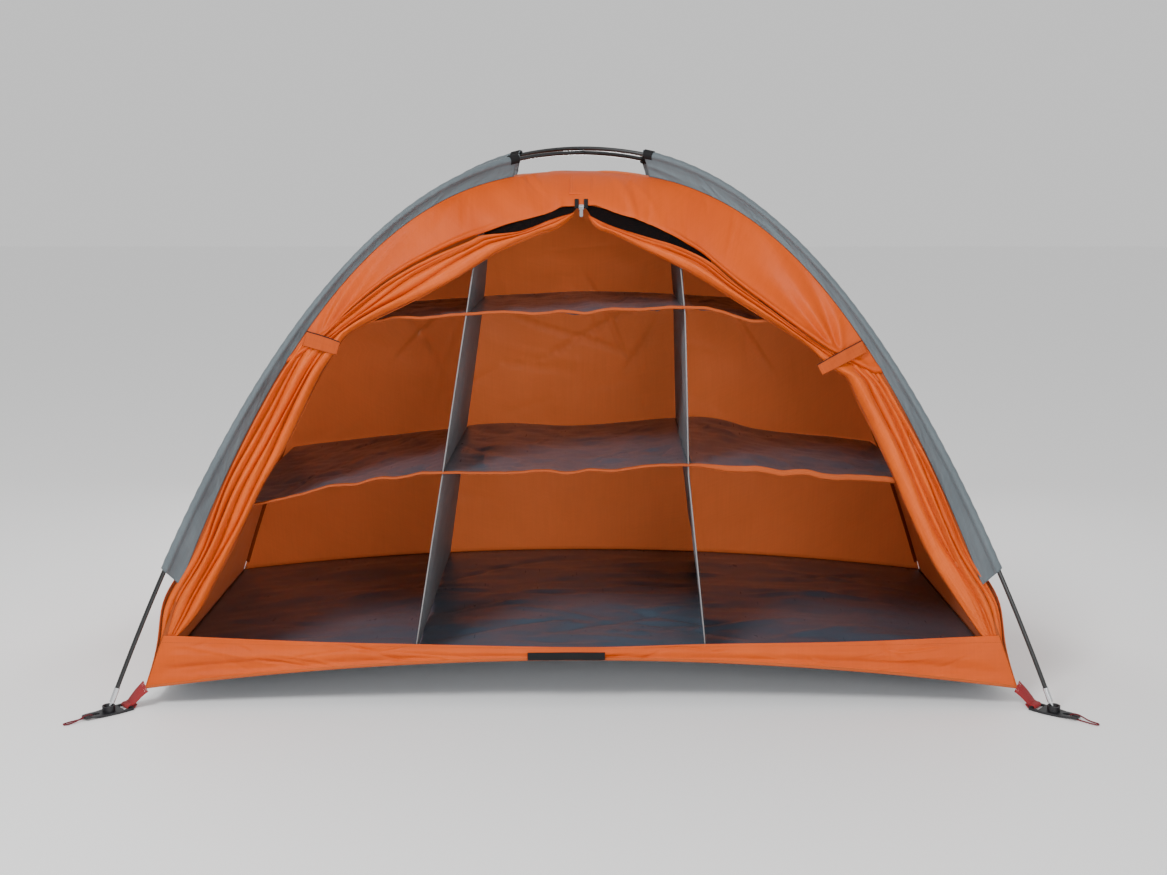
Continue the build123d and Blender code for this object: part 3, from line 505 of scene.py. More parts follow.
def new_piece(name, vertices, faces, uv, material, body):
    """A mesh object from arrays; uv has one row for each vertex."""
    mesh = bpy.data.meshes.new(name)
    mesh.from_pydata(np.reshape(vertices, (-1, 3)).tolist(), [], faces.tolist())
    loops = np.empty(len(mesh.loops), dtype=np.int32)
    mesh.loops.foreach_get("vertex_index", loops)
    layer = mesh.uv_layers.new(name="cloth")
    layer.data.foreach_set("uv", np.reshape(uv, (-1, 2))[loops].astype(np.float32).ravel())
    mesh.polygons.foreach_set("use_smooth", np.full(len(mesh.polygons), True))
    mesh.materials.append(material)
    piece = put(name, mesh)
    if body:
        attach(piece, body)
    return piece


def grid_faces(rows, columns, flip=False):
    """Quads of a grid; flip turns their fronts round."""
    i, j = np.meshgrid(np.arange(rows - 1), np.arange(columns - 1), indexing="ij")
    a = i * columns + j
    quads = np.stack([a, a + 1, a + 1 + columns, a + columns], axis=-1).reshape(-1, 4)
    return quads[:, ::-1] if flip else quads


def sheet_piece(name, points, material, node=(), flip=False, thick=0.0007, body="tent"):
    """Cloth from a grid of points, with its thickness, in place of the named CAD nodes."""
    rows, columns = points.shape[:2]
    piece = new_piece(name, points, grid_faces(rows, columns, flip), cloth_uv(points), material, body)
    if thick:
        wall = piece.modifiers.new("thickness", "SOLIDIFY")
        wall.thickness, wall.offset = thick, 0.0
    for replaced in [node] if isinstance(node, str) else node:
        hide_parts(replaced)
    return piece


def sample(line, run, at):
    """The points of a line at distances along it; run holds the distance of each of its own points."""
    return np.stack([np.interp(at, run, column) for column in line.T], axis=-1)


def even(line, count):
    """Resample a fine line evenly along its length."""
    run = lengths(line, 0)
    return sample(line, run, np.linspace(0, run[-1], count))


def smooth_curve(points, count):
    """A curve through points (Catmull-Rom), with count points spaced evenly along its length."""
    p = np.asarray(points, float)
    p = np.concatenate([[2 * p[0] - p[1]], p, [2 * p[-1] - p[-2]]])
    t = np.linspace(0, 1, CURVE_STEPS, endpoint=False)[:, None, None]
    a, b, c, d = p[:-3], p[1:-2], p[2:-1], p[3:]
    fine = 0.5 * (2 * b + (c - a) * t + (2 * a - 5 * b + 4 * c - d) * t**2 + (3 * b - a - 3 * c + d) * t**3)
    return even(np.concatenate([fine.transpose(1, 0, 2).reshape(-1, p.shape[1]), p[-2:-1]]), count)


def creases(a, b, marks):
    """Sum of folds. Each is a ridge exp(-(across/width)^2) along a line that fades at its ends."""
    total = np.zeros(np.broadcast(a, b).shape)
    for a0, b0, angle, long, wide, deep in marks:
        along = (a - a0) * np.cos(angle) + (b - b0) * np.sin(angle)
        across = (b - b0) * np.cos(angle) - (a - a0) * np.sin(angle)
        across = across + 0.06 * long * np.sin(2.2 * along / long + a0 * 9)
        total += deep * np.exp(-((across / wide) ** 2) - (2 * along / long) ** 4)
    return total


def scattered(count, low, high, angle, spread, long, wide, deep):
    """Random creases in a box, mostly in one direction, deep ones rare."""
    place = rng.uniform(low, high, (count, 2))
    turn = angle + rng.normal(0, spread, count)
    size = rng.uniform(0.5, 1.3, count)
    sign = np.where(rng.random(count) < 0.5, -1, 1)
    depth = deep * rng.random(count) ** 1.6 * sign
    return np.column_stack([place, turn, long * size, wide * size, depth])


def soft_noise(a, b, scale, seed, octaves=3):
    """Smooth random hills, about -1 to 1: sums of crossed waves at random angles."""
    pick = np.random.default_rng(seed)
    total = np.zeros(np.broadcast(a, b).shape)
    for octave in range(octaves):
        for _ in range(4):
            angle, phase = pick.uniform(0, 2 * np.pi, 2)
            wave = 2 * np.pi / scale * 2**octave * pick.uniform(0.7, 1.3)
            total += np.sin(wave * (a * np.cos(angle) + b * np.sin(angle)) + phase) * 0.5**octave
    return total / 4.5


def fade(t, edge):
    """1 inside, falling smoothly to 0 at both ends of 0..1, over edge."""
    rise = np.clip(np.minimum(t, 1 - t) / edge, 0, 1)
    return rise * rise * (3 - 2 * rise)


print("mesh helpers ready")

# %% [markdown]
# ## The peg loops
# Through the eye of each foot goes a short loop of thin cord that a peg holds. It comes up through
# the eye, over the lifted nose, out along the ground, round its tip and back under the nose. Its
# line is one smooth NURBS curve through a few control points, the same route as in the frame. Both
# of its ends meet inside the eye, where the real loop is knotted out of sight.

# %% Corners and cords
FOOT_TURN = np.radians(44)
CORNERS = {
    "front_left": (LEFT, -1), "front_right": (RIGHT, -1), "back_left": (LEFT, 1), "back_right": (RIGHT, 1),
}
LOOP_D = 0.0025
LOOP_ROUTE = np.array([
    (29.5, 2.1, 3.2), (34.0, 2.5, 7.6), (43.5, 3.1, 8.3), (53.5, 3.9, 5.0), (63.0, 3.8, 2.1),
    (72.0, 4.2, 1.5), (78.5, 3.9, 1.6), (82.0, 2.0, 1.7), (82.0, -1.9, 1.6), (78.5, -3.8, 1.5),
    (71.5, -4.3, 1.4), (62.5, -4.0, 1.35), (52.0, -3.5, 1.4), (42.5, -2.8, 1.35), (34.6, -2.4, 1.4),
    (28.4, -2.1, 2.6),
]) / 1000


def at_corner(points, corner):
    """Points built along +X from the pole's seat, turned and moved to a corner."""
    side_x, side_y = CORNERS[corner]
    turn = np.arctan2(side_y * np.sin(FOOT_TURN), side_x * np.cos(FOOT_TURN))
    x, y, z = np.moveaxis(np.asarray(points, float), -1, 0)
    return xyz(
        side_x * SEAT_X + x * np.cos(turn) - y * np.sin(turn),
        side_y * SEAT_Y + x * np.sin(turn) + y * np.cos(turn), z,
    )


def peg_loop(corner):
    """A NURBS cord with a round bevel, on the foot's own body."""
    route = at_corner(LOOP_ROUTE, corner)
    curve = bpy.data.curves.new(f"cord_{corner}", "CURVE")
    curve.dimensions = "3D"
    curve.bevel_depth, curve.bevel_resolution, curve.resolution_u = LOOP_D / 2, 4, 10
    curve.use_fill_caps = True
    line = curve.splines.new("NURBS")
    line.points.add(len(route) - 1)
    line.points.foreach_set("co", np.column_stack([route, np.ones(len(route))]).ravel())
    line.order_u = 3
    line.use_endpoint_u = True
    curve.materials.append(RED_CORD)
    cord = put(f"loop_cord_{corner}", curve)
    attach(cord, f"foot_{corner}")
    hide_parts(f"peg_loop_{corner}")


for corner in CORNERS:
    peg_loop(corner)
print("cords:", len(CORNERS))

# %% [markdown]
# ## Poles and feet
# The poles, ferrules, pins and feet are hard parts, and the frame already has their true shapes, so
# they only need their finishes. A pole's sections meet in short metal ferrules.

# %% Finishes on the frame's own parts
FINISHES = {
    "pole_ferrules": TURNED_METAL, "pole_tips": TURNED_METAL, "shock_cords": BLACK_TAPE,
    # The seam tapes take the darker binding: painted shade along the seams.
    "seam_tapes": SEAM_BINDING_AND_SHADE, "sleeve_end_tapes": BLACK_TAPE,
    "zip_slider": PLATED_ZINC, "zip_puller": PLATED_ZINC,
}
FINISHES |= {f"pole_{pole}_section_{number}": FIBREGLASS for pole in "ab" for number in range(1, 6)}
FINISHES |= {f"foot_{corner}": MOULDED for corner in CORNERS}
for node, material in FINISHES.items():
    slots = bpy.data.objects[node].data.materials
    slots.clear()
    slots.append(material)
print("finished frame parts:", len(FINISHES))

# %% [markdown]
# ## Stitches
# A seam is seen by its thread. Each stitch is a small stud of six faces, and a row of them follows a
# line on the cloth, standing a third of a millimetre proud. All the stitches of a row are one mesh.

# %% Rows of stitches
RING = np.array([(-1, -1), (1, -1), (1, 1), (-1, 1)])
STUD = np.vstack([np.column_stack([RING, np.zeros(4)]), np.column_stack([RING * (0.6, 0.5), np.ones(4)])])
STUD_FACES = np.array([(0, 3, 2, 1), (4, 5, 6, 7), (0, 1, 5, 4), (1, 2, 6, 5), (2, 3, 7, 6), (3, 0, 4, 7)])
SUNK = 0.3  # share of a stud's height that lies in the cloth


def stitch_row(name, line, normal, material, body, pitch=0.0042, long=0.0028, wide=0.0006, high=0.0005):
    """Studs along a line: each is an eight-cornered block whose top is narrower than its foot."""
    run = lengths(line, 0)
    middles = np.arange(pitch, run[-1] - pitch / 2, pitch)
    along = unit(sample(line, run, middles + long / 2) - sample(line, run, middles - long / 2))
    up = square_to(along, sample(np.broadcast_to(normal, line.shape), run, middles))
    block = (
        sample(line, run, middles)[:, None]
        + along[:, None] * (STUD[:, 0] * long / 2)[None, :, None]
        + np.cross(up, along)[:, None] * (STUD[:, 1] * wide / 2)[None, :, None]
        + up[:, None] * ((STUD[:, 2] - SUNK) * high)[None, :, None]
    )
    faces = (STUD_FACES[None] + len(STUD) * np.arange(len(middles))[:, None, None]).reshape(-1, 4)
    new_piece(name, block, faces, block[..., :2], material, body)


THREAD = plain_finish("orange thread", "b85526", 0.5, grain=1500)
PALE_THREAD = plain_finish("pale thread", "d8cfc6", 0.5, grain=1500)
DARK_THREAD = plain_finish("grey thread", "4c5256", 0.5, grain=1500)
print("threads ready")

# %% [markdown]
# ## Corner straps
# A strip of 25 mm red webbing is sewn to each corner of the tent, runs down to the foot, goes round
# the foot's bar and comes back under itself. It lies level at the bar and follows the hem at the
# tent, so it twists a little on the way. It crosses from the tent to the foot, so it rides on neither body.

# %% Straps
STRAP_WIDTH, STRAP_THICK = 0.025, 0.0014
STRAP_ROWS, STRAP_COLUMNS = 64, 13
BAR_LINE = np.array([  # along the foot's axis and up: under the bar, round it, then up towards the tent
    (-47.5, 6.8), (-41.5, 1.7), (-36.5, 0.95), (-31.6, 1.2), (-29.6, 4.2), (-31.8, 7.2), (-36.5, 7.7), (-41.5, 9.0),
]) / 1000


def corner_strap(corner):
    """A strip carried from under the bar up to the tent, its width turning from level to the hem's way."""
    side_x, side_y = CORNERS[corner]
    tent_end = np.array([side_x * 0.772, side_y * 0.367, 0.0385])
    low = at_corner(xyz(BAR_LINE[:, 0], 0, BAR_LINE[:, 1]), corner)
    between = low[-1] * 0.45 + tent_end * 0.55 + (0, 0, 0.0012)
    path = smooth_curve(np.concatenate([low, [between], [tent_end]]), STRAP_ROWS)
    t = np.linspace(0, 1, STRAP_ROWS)[:, None]
    bar_way = at_corner([(0, 1, 0)], corner)[0] - at_corner([(0, 0, 0)], corner)[0]
    hem_way = unit(np.array([side_x * 0.83, side_y * -0.5, 0.0]))
    hem_way *= np.sign(np.dot(hem_way, bar_way))
    turn = np.clip((t - 0.55) / 0.45, 0, 1) ** 1.5
    tangent = unit(np.gradient(path, axis=0))
    across = square_to(tangent, bar_way * (1 - turn) + hem_way * turn)
    width = np.linspace(-1, 1, STRAP_COLUMNS)[None, :, None]
    points = path[:, None] + across[:, None] * width * STRAP_WIDTH / 2
    crown = np.cross(across, tangent)[:, None] * (1 - width**2) * 0.0006
    strap = sheet_piece(
        f"strap_{corner}", points + crown, RED_WEBBING, f"corner_strap_{corner}",
        thick=STRAP_THICK, body=None,
    )
    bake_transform(strap)
    normal = np.cross(tangent, across)
    if normal[-1][2] < 0:
        normal = -normal
    for number, back in enumerate((2, 5)):
        line = np.linspace(points[-back, 1], points[-back, -2], 20) + normal[-back] * 0.0009
        stitch_row(
            f"strap_stitch_{corner}_{number}", line, normal[-back], PALE_THREAD, "tent",
            pitch=0.0036, long=0.0026, wide=0.0009,
        )


for corner in CORNERS:
    corner_strap(corner)
print("straps:", len(CORNERS))

# %% [markdown]
# ## Pole sleeves
# Each pole is held by a grey sleeve: a tunnel of cloth round the pole and a double web down to the
# seam. The web is narrow on the sides and wide at the shoulders, where it wrinkles because the
# cloth is cut straight and the seam is not. One profile, from the seam round the pole and back to
# the seam, is carried along the pole; its two layers move together in each wrinkle.

# %% Sleeves
SLEEVE_R = 0.0078
CROWN_X, CROWN_SEAM_X = 0.118, 0.1265
SLEEVE_LOW_Z, SEAM_DROP = 0.245, 0.030
SLEEVE_ROWS, FINE_ROWS = 260, 400
WEB_START = 0.0085


def pole_axis(t, pole, side_x, side_y):
    """The pole's centre line: height falls with the power of the share t of its span."""
    top = POLE_TOPS[pole]
    return xyz(side_x * SEAT_X * t, side_y * SEAT_Y * t, SEAT_Z + (top - SEAT_Z) * (1 - t**POLE_POWER))


def seam_line(s, side_x, side_y):
    """The seam under a pole, at a share."""
    return xyz(side_x * HALF_WIDTH * s, side_y * HALF_DEPTH * s, height_at(s))


def sleeve(corner, seed):
    """Profile from the seam, round the pole, to the seam again, along the pole's upper part."""
    side_x, side_y = CORNERS[corner]
    pole = "a" if side_x * side_y > 0 else "b"
    top = POLE_TOPS[pole]
    last = (1 - (SLEEVE_LOW_Z - SEAT_Z) / (top - SEAT_Z)) ** (1 / POLE_POWER)
    axis = even(pole_axis(np.linspace(CROWN_X / SEAT_X, last, FINE_ROWS), pole, side_x, side_y), SLEEVE_ROWS)
    shares = np.linspace(CROWN_SEAM_X / HALF_WIDTH, share_at(SLEEVE_LOW_Z - SEAM_DROP), FINE_ROWS)
    seam = even(seam_line(shares, side_x, side_y), SLEEVE_ROWS)
    down = seam - axis
    wide = np.linalg.norm(down, axis=1, keepdims=True)
    down /= wide
    side = np.array([-side_y * SLOPE, side_x, 0.0]) / np.hypot(1, SLOPE)
    web = np.linspace(0, 1, 16)[None, :, None]
    layer = axis[:, None] + down[:, None] * (WEB_START + (wide[:, None] - WEB_START - 0.0005) * web)
    t = np.linspace(0, 1, SLEEVE_ROWS)[:, None]
    length = lengths(axis, 0)[:, None]
    reach = wide * web[..., 0]
    shoulder = np.exp(-(((t - 0.16) / 0.16) ** 2))
    pull = creases(length, reach, scattered(46, (0, 0.0), (0.95, 0.045), 0.55, 0.35, 0.075, 0.0035, 0.0022))
    pull = pull * (0.35 + shoulder * 1.2) + soft_noise(length, reach, 0.09, seed) * 0.0016
    pull = pull * (0.25 + np.sin(np.pi * web[..., 0]) * 0.9)
    gap = 0.0009 + 0.0028 * (1 - web) ** 3
    angle = np.linspace(np.radians(35), np.radians(325), 19)[None, :, None]
    ripple = 1 + 0.05 * np.sin(length * 240 + seed)[:, None] * np.cos(angle * 2)
    round_pole = axis[:, None] + (down[:, None] * np.cos(angle) + side * np.sin(angle)) * SLEEVE_R * ripple
    inner = layer + side * (pull[..., None] + gap)
    outer = layer + side * (pull[..., None] - gap)
    profile = np.concatenate([inner[:, ::-1], round_pole, outer], axis=1)
    piece = sheet_piece(
        f"sleeve_cloth_{corner}", profile, GREY, f"sleeve_{corner}", thick=0.0005,
        flip=side_x * side_y > 0,
    )
    for number, sign in enumerate((-1, 1)):
        stitch_row(
            f"sleeve_stitch_{corner}_{number}", layer[:, 0] + side * sign * 0.0042, side * sign, DARK_THREAD,
            "tent",
        )


for seed, corner in enumerate(CORNERS):
    sleeve(corner, seed)
print("sleeves:", len(CORNERS))

# %% [markdown]
# ## Walls
# Each wall is a grid of v across and s down, from the crown to the hem. A line of constant v meets
# the hem where z(s) equals the hem's height at x(v, s), which a few rounds of substitution solve.
# The walls are tight at the seams, so every wrinkle fades out there. Long soft hollows come from the
# noise, sharp creases from `scattered`. Only near the front corners do the side walls hang free.

# %% Walls and floor
SEAM_CLEAR, FLOOR_CLEAR, FLOOR_LIFT = 0.0007, 0.0012, 0.0022


def edge_share(which, v, height_of):
    """The share at which each line of constant v meets the edge z = height_of(x)."""
    s = np.full(v.shape, 0.8)
    reach = {"front": v, "back": v, "left": LEFT, "right": RIGHT}[which] * HALF_WIDTH
    for _ in range(60):
        s = share_at(height_of(reach * s))
    return s


def wall_grid(which, rows, columns, low, top=0.004):
    """Values (v, t, s, along) of a grid from the crown to an edge."""
    v = np.linspace(-1, 1, columns)[None, :]
    t = np.linspace(0, 1, rows)[:, None]
    s = top + (edge_share(which, v, low) - top) * t
    along = v * np.maximum(half_base(which)[0] * s - SEAM_CLEAR, 0)
    return v, t, s, along


def cloth_size(points):
    """Widest row, longest run square to the rows, and area of a grid, in metres."""
    side_a = points[1:, 1:] - points[:-1, :-1]
    side_b = points[1:, :-1] - points[:-1, 1:]
    area = 0.5 * np.linalg.norm(np.cross(side_a, side_b), axis=-1).sum()
    upright = np.delete(points, np.ptp(points[-1], axis=0).argmax(), axis=-1)
    return lengths(points, 1)[:, -1].max(), lengths(upright, 0)[-1].max(), area


LEAST_FILL = 0.31  # a cut that fills less of its rectangle than this is laid out slanted to save cloth


def declare_sheet(piece, points):
    """Say how large this cloth is when flat. It is cut to its shape, so its area is stated too."""
    wide, long, area = cloth_size(points)
    long = min(long, area / (LEAST_FILL * wide))
    print(f"  {piece.name}: {wide:.2f} x {long:.2f} m, {area:.3f} m2")


def corner_slack(z):
    """Near the corners the cloth isn't stretched, and hangs outwards by up to 2 cm."""
    return 0.019 * np.exp(-(((z - 0.185) / 0.062) ** 2))


WALL_ROWS, WALL_COLUMNS = 170, 190


def wall(which, seed, marks, node):
    """One wall with soft hollows and creases, tight at its seams and hem."""
    v, t, s, along = wall_grid(which, WALL_ROWS, WALL_COLUMNS, hem_z)
    run = t * 1.2
    tight = fade((v + 1) / 2, 0.10) * fade(t, 0.08)
    out = soft_noise(along, run, 0.42, seed) * 0.006 + soft_noise(along, run, 0.13, seed + 9, 2) * 0.0014
    out = (out + creases(along, run, marks)) * tight
    if which in ("left", "right"):
        out += corner_slack(height_at(s)) * np.exp(-(((1 + v) / 0.22) ** 2))
    points = on_panel(which, along, s, out)
    # The walls use the lighter copy of the taffeta: painted light.
    piece = sheet_piece(node + "_cloth", points, WALL_ORANGE_PAINTED_LIGHTER, node, flip=which == "right")
    declare_sheet(piece, points)


wrinkles = np.concatenate([
    scattered(50, (-0.7, 0.35), (0.7, 0.95), np.pi / 2, 0.22, 0.18, 0.005, 0.0034),
    scattered(40, (-0.6, 0.35), (0.6, 0.85), 0.7, 0.8, 0.16, 0.0032, 0.0028),
    scattered(70, (-0.7, 0.86), (0.7, 1.16), 0.05, 0.2, 0.15, 0.004, 0.0030),
    [
        (-0.02, 0.84, 0.42, 0.26, 0.0028, 0.009), (0.02, 0.83, 2.75, 0.26, 0.0028, 0.009),
        (0.05, 0.80, 1.25, 0.2, 0.0028, 0.007), (-0.34, 0.83, 2.3, 0.16, 0.0028, 0.008),
        (-0.33, 0.85, 0.9, 0.14, 0.0028, 0.007), (0.36, 0.84, 0.8, 0.15, 0.0028, 0.006),
        (0.12, 0.86, 2.2, 0.14, 0.0028, 0.006), (-0.1, 0.9, 0.2, 0.16, 0.0028, 0.005),
    ],
])
wall("back", 3, wrinkles, "back_wall")
side_marks = scattered(70, (-0.33, 0.2), (0.33, 1.15), np.pi / 2, 0.5, 0.17, 0.006, 0.003)
wall("left", 5, side_marks, "left_wall")
wall("right", 6, side_marks * (-1, 1, -1, 1, 1, 1), "right_wall")


def floor_cloth():
    """The floor follows the hem's arch, with hollows between."""
    v = np.linspace(-1, 1, 200)[None, :]
    w = np.linspace(-1, 1, 90)[:, None]
    hem_s = share_at(hem_z(HALF_WIDTH * share_at(HEM_CORNER)))
    x = v * (HALF_WIDTH * hem_s - FLOOR_CLEAR)
    y = w * (HALF_DEPTH * share_at(hem_z(x)) - FLOOR_CLEAR)
    tight = fade((v + 1) / 2, 0.06) * fade((w + 1) / 2, 0.1)
    z = hem_z(x) + FLOOR_LIFT + tight * (
        soft_noise(x * 0.7, y * 1.6, 0.3, 12) * 0.005
        + creases(x, y, scattered(60, (-0.7, -0.3), (0.7, 0.3), 0.1, 0.3, 0.26, 0.009, 0.0055))
        + creases(x, y, scattered(26, (-0.3, -0.3), (0.25, 0.1), 0.05, 0.2, 0.2, 0.006, 0.0045))
    )
    points = xyz(x, y, z)
    piece = sheet_piece("floor_cloth", points, COATED, "floor_sheet")
    declare_sheet(piece, points)


HEM_PROFILE = np.array([  # down the panel and out of it, round the fold
    (-0.0042, 0.0008), (-0.0022, 0.0015), (0.0, 0.0014), (0.0009, 0.0), (0.0, -0.0013), (-0.004, -0.0012),
])


def hem_tape(which):
    """A narrow folded hem round the foot of one side, darker than the cloth as painted shade."""
    v = np.linspace(-1, 1, 160)[None, :]
    s = edge_share(which, v, hem_z)
    down, out = HEM_PROFILE[:, :1], HEM_PROFILE[:, 1:]
    lower = share_at(height_at(s) - down)
    points = on_panel(which, v * (half_base(which)[0] * lower - SEAM_CLEAR), lower, out)
    sheet_piece(f"hem_tape_{which}", points, ORANGE_TAPE_AND_SHADE, thick=0)


floor_cloth()
for which in ("front", "back", "left", "right"):
    hem_tape(which)
print("walls, floor and hems made")

# %% [markdown]
# ## The visor and the sill
# The front is open. Above the opening stays the visor, from the crown down to the zip's line. Out
# to the sides its edge is no longer straight: the door's pull gathers it into a soft roll, and folds
# fan out from the tie. Below the opening stays the sill, which sags into level wrinkles because the
# poles no longer stretch it.

# %% Visor
VISOR = {
    LEFT: [
        (0.034, 0.873), (0.07, 0.859), (0.133, 0.8415), (0.205, 0.815), (0.276, 0.784), (0.346, 0.743),
        (0.416, 0.6875), (0.46, 0.643), (0.52, 0.60),
    ],
    RIGHT: [
        (0.0265, 0.873), (0.066, 0.859), (0.1385, 0.8345), (0.21, 0.7945), (0.28, 0.737), (0.35, 0.686),
        (0.42, 0.636), (0.461, 0.612), (0.52, 0.582),
    ],
}
TIE_PLACE = {LEFT: (-0.470, 0.634), RIGHT: (0.462, 0.608)}
VISOR_ROWS, VISOR_COLUMNS = 138, 345


def side_curve(points, side, count):
    """A smooth curve on this side, through points given as distances from the middle and heights."""
    return smooth_curve(np.array(points) * (side, 1), count)


visor_line = np.concatenate([side_curve(VISOR[LEFT], LEFT, 160)[::-1], side_curve(VISOR[RIGHT], RIGHT, 160)])


def visor_z(x):
    """The height of the visor's lower edge."""
    return np.interp(x, visor_line[:, 0], visor_line[:, 1])


def fan(x, z, centre, angles, near, far, wide, deep):
    """Ridges that spread from a point: deep * exp(-((turn - angle) * r / w)^2), fading with r."""
    dx, dz = x - centre[0], z - centre[1]
    r = np.hypot(dx, dz) + 1e-6
    turn = np.arctan2(dz, dx)
    total = 0 * r
    for number, angle in enumerate(angles):
        off = np.angle(np.exp(1j * (turn - angle)))
        width = wide * (0.35 + r / far)
        total += deep * (-1) ** number * np.exp(-((off * r / width) ** 2)) * np.exp(-((r / far) ** 2))
    return total * np.clip(r / near, 0, 1)


def visor():
    """The panel above the opening: its lower edge rolls outwards at the sides, and folds fan from the ties."""
    v, t, s, x = wall_grid("front", VISOR_ROWS, VISOR_COLUMNS, visor_z)
    flat_points = on_panel("front", x, s)
    z = flat_points[..., 2]
    to_edge = lengths(flat_points[::-1], 0)[::-1]
    soft = np.clip((np.abs(x) - 0.15) / 0.07, 0, 1)
    out = soft * 0.0065 * np.exp(-(((to_edge - 0.009) / 0.008) ** 2))
    out -= (1 - soft) * 0.0012 * np.exp(-((to_edge / 0.006) ** 2))
    for side, angles in ((LEFT, (0.78, 0.92, 1.08, 1.3, 1.6)), (RIGHT, (2.45, 2.3, 2.12, 1.9, 1.6))):
        out += fan(x, z, TIE_PLACE[side], angles, 0.03, 0.17, 0.011, 0.0052) * fade((v + 1) / 2, 0.03)
    tight = fade((v + 1) / 2, 0.07) * np.clip(t / 0.1, 0, 1)
    run = lengths(flat_points, 0)
    wrinkle = soft_noise(x, run, 0.3, 21) * 0.0038 + soft_noise(x, run, 0.1, 22, 2) * 0.0009
    marks = np.concatenate([
        scattered(60, (-0.42, 0.05), (0.42, 0.42), np.pi / 2, 0.35, 0.13, 0.006, 0.0032),
        [(-0.12, 0.05, 1.0, 0.16, 0.006, 0.002), (0.12, 0.05, 2.1, 0.16, 0.006, 0.002)],
    ])
    out += (wrinkle + creases(x, run, marks)) * tight
    points = on_panel("front", x, s, out)
    piece = sheet_piece("visor_cloth", points, ORANGE, "front_panel", flip=True)
    declare_sheet(piece, points)


SILL_LINE = np.array([
    (-0.78, 0.129), (-0.71, 0.1266), (-0.48, 0.117), (-0.3, 0.1127), (0.0, 0.1074), (0.22, 0.1127), (0.48, 0.117),
    (0.71, 0.1266), (0.78, 0.129),
])
sill_line = smooth_curve(SILL_LINE, 200)
SILL_ROWS, SILL_COLUMNS = 46, 420
SILL_ROLL = 0.003
TAB_LEFT, TAB_RIGHT, TAB_RISE, TAB_HIGH, TAB_OUT = -0.095, 0.042, 0.0140, 0.0135, 0.0050


def sill():
    """Between the hem and the opening, with level wrinkles and one long fold near the hem."""
    v = np.linspace(-1, 1, SILL_COLUMNS)[None, :]
    low = edge_share("front", v, hem_z)
    high = edge_share("front", v, lambda x: np.interp(x, sill_line[:, 0], sill_line[:, 1]))
    t = np.linspace(0, 1, SILL_ROWS)[:, None]
    s = high + (low - high) * t
    x = v * (HALF_WIDTH * s - SEAM_CLEAR)
    run = lengths(on_panel("front", x, s), 0)
    marks = np.concatenate([
        scattered(80, (-0.68, 0.01), (0.68, 0.06), 0.0, 0.14, 0.14, 0.0035, 0.0042),
        scattered(30, (-0.7, 0.01), (0.7, 0.06), 0.5, 0.5, 0.05, 0.003, 0.003),
    ])
    room = np.clip((0.13 - 0.085 * (1 - (x / 0.78) ** 2)) / 0.09, 0.25, 1)
    hollow = np.exp(-(((t - 0.72 - 0.06 * np.sin(x * 9)) / 0.12) ** 2))
    roll = SILL_ROLL * (np.exp(-(((t - 0.45) / 0.16) ** 2)) - hollow)
    out = (creases(x, run, marks) + roll + soft_noise(x, run * 2, 0.12, 31) * 0.0012) * fade(t, 0.22) * room
    out = out * fade((v + 1) / 2, 0.03)
    points = on_panel("front", x, s, out)
    piece = sheet_piece("front_sill_cloth", points, ORANGE, "front_sill", flip=True)
    declare_sheet(piece, points)
    facing = unit(on_panel("front", x, s, out + 0.001) - points)
    stitch_row("sill_stitches", points[6] + facing[6] * 0.0005, facing[6], THREAD, "tent")


def sill_tab():
    """A dark patch on the middle of the hem."""
    x = np.linspace(TAB_LEFT, TAB_RIGHT, 60)[None, :]
    t = np.linspace(0, 1, 9)[:, None]
    points = front(x, hem_z(x) + TAB_RISE - TAB_HIGH * t, TAB_OUT + 0.0006 * np.sin(x * 90))
    piece = sheet_piece("sill_tab_cloth", points, BLACK_TAPE, "sill_tab", flip=True, thick=0.0008)
    declare_sheet(piece, points)


visor()
sill()
sill_tab()
print("visor and sill made")

# %% [markdown]
# ## The gathered doors
# Each half of the door is one sheet, gathered to its side and held by a tie. Across the gather we see
# a few rounded folds with sharp valleys; behind them the rest of the cloth lies to and fro in flat
# pleats. Fold k spans from b_k to b_(k+1) of the gather's width and stands a (1 - u^2)^0.55 high,
# where u runs from -1 to 1 over it. The borders b_k drift along the gather, so folds swell and thin.

# %% Gathers
SEAM_INSIDE = 0.004


def seam_run(top_z, low_z, count):
    """Outer edge of the gather below the tie: it follows the seam."""
    z = np.linspace(top_z, low_z, count)
    return np.stack([HALF_WIDTH * share_at(z) - SEAM_INSIDE, z], axis=-1)


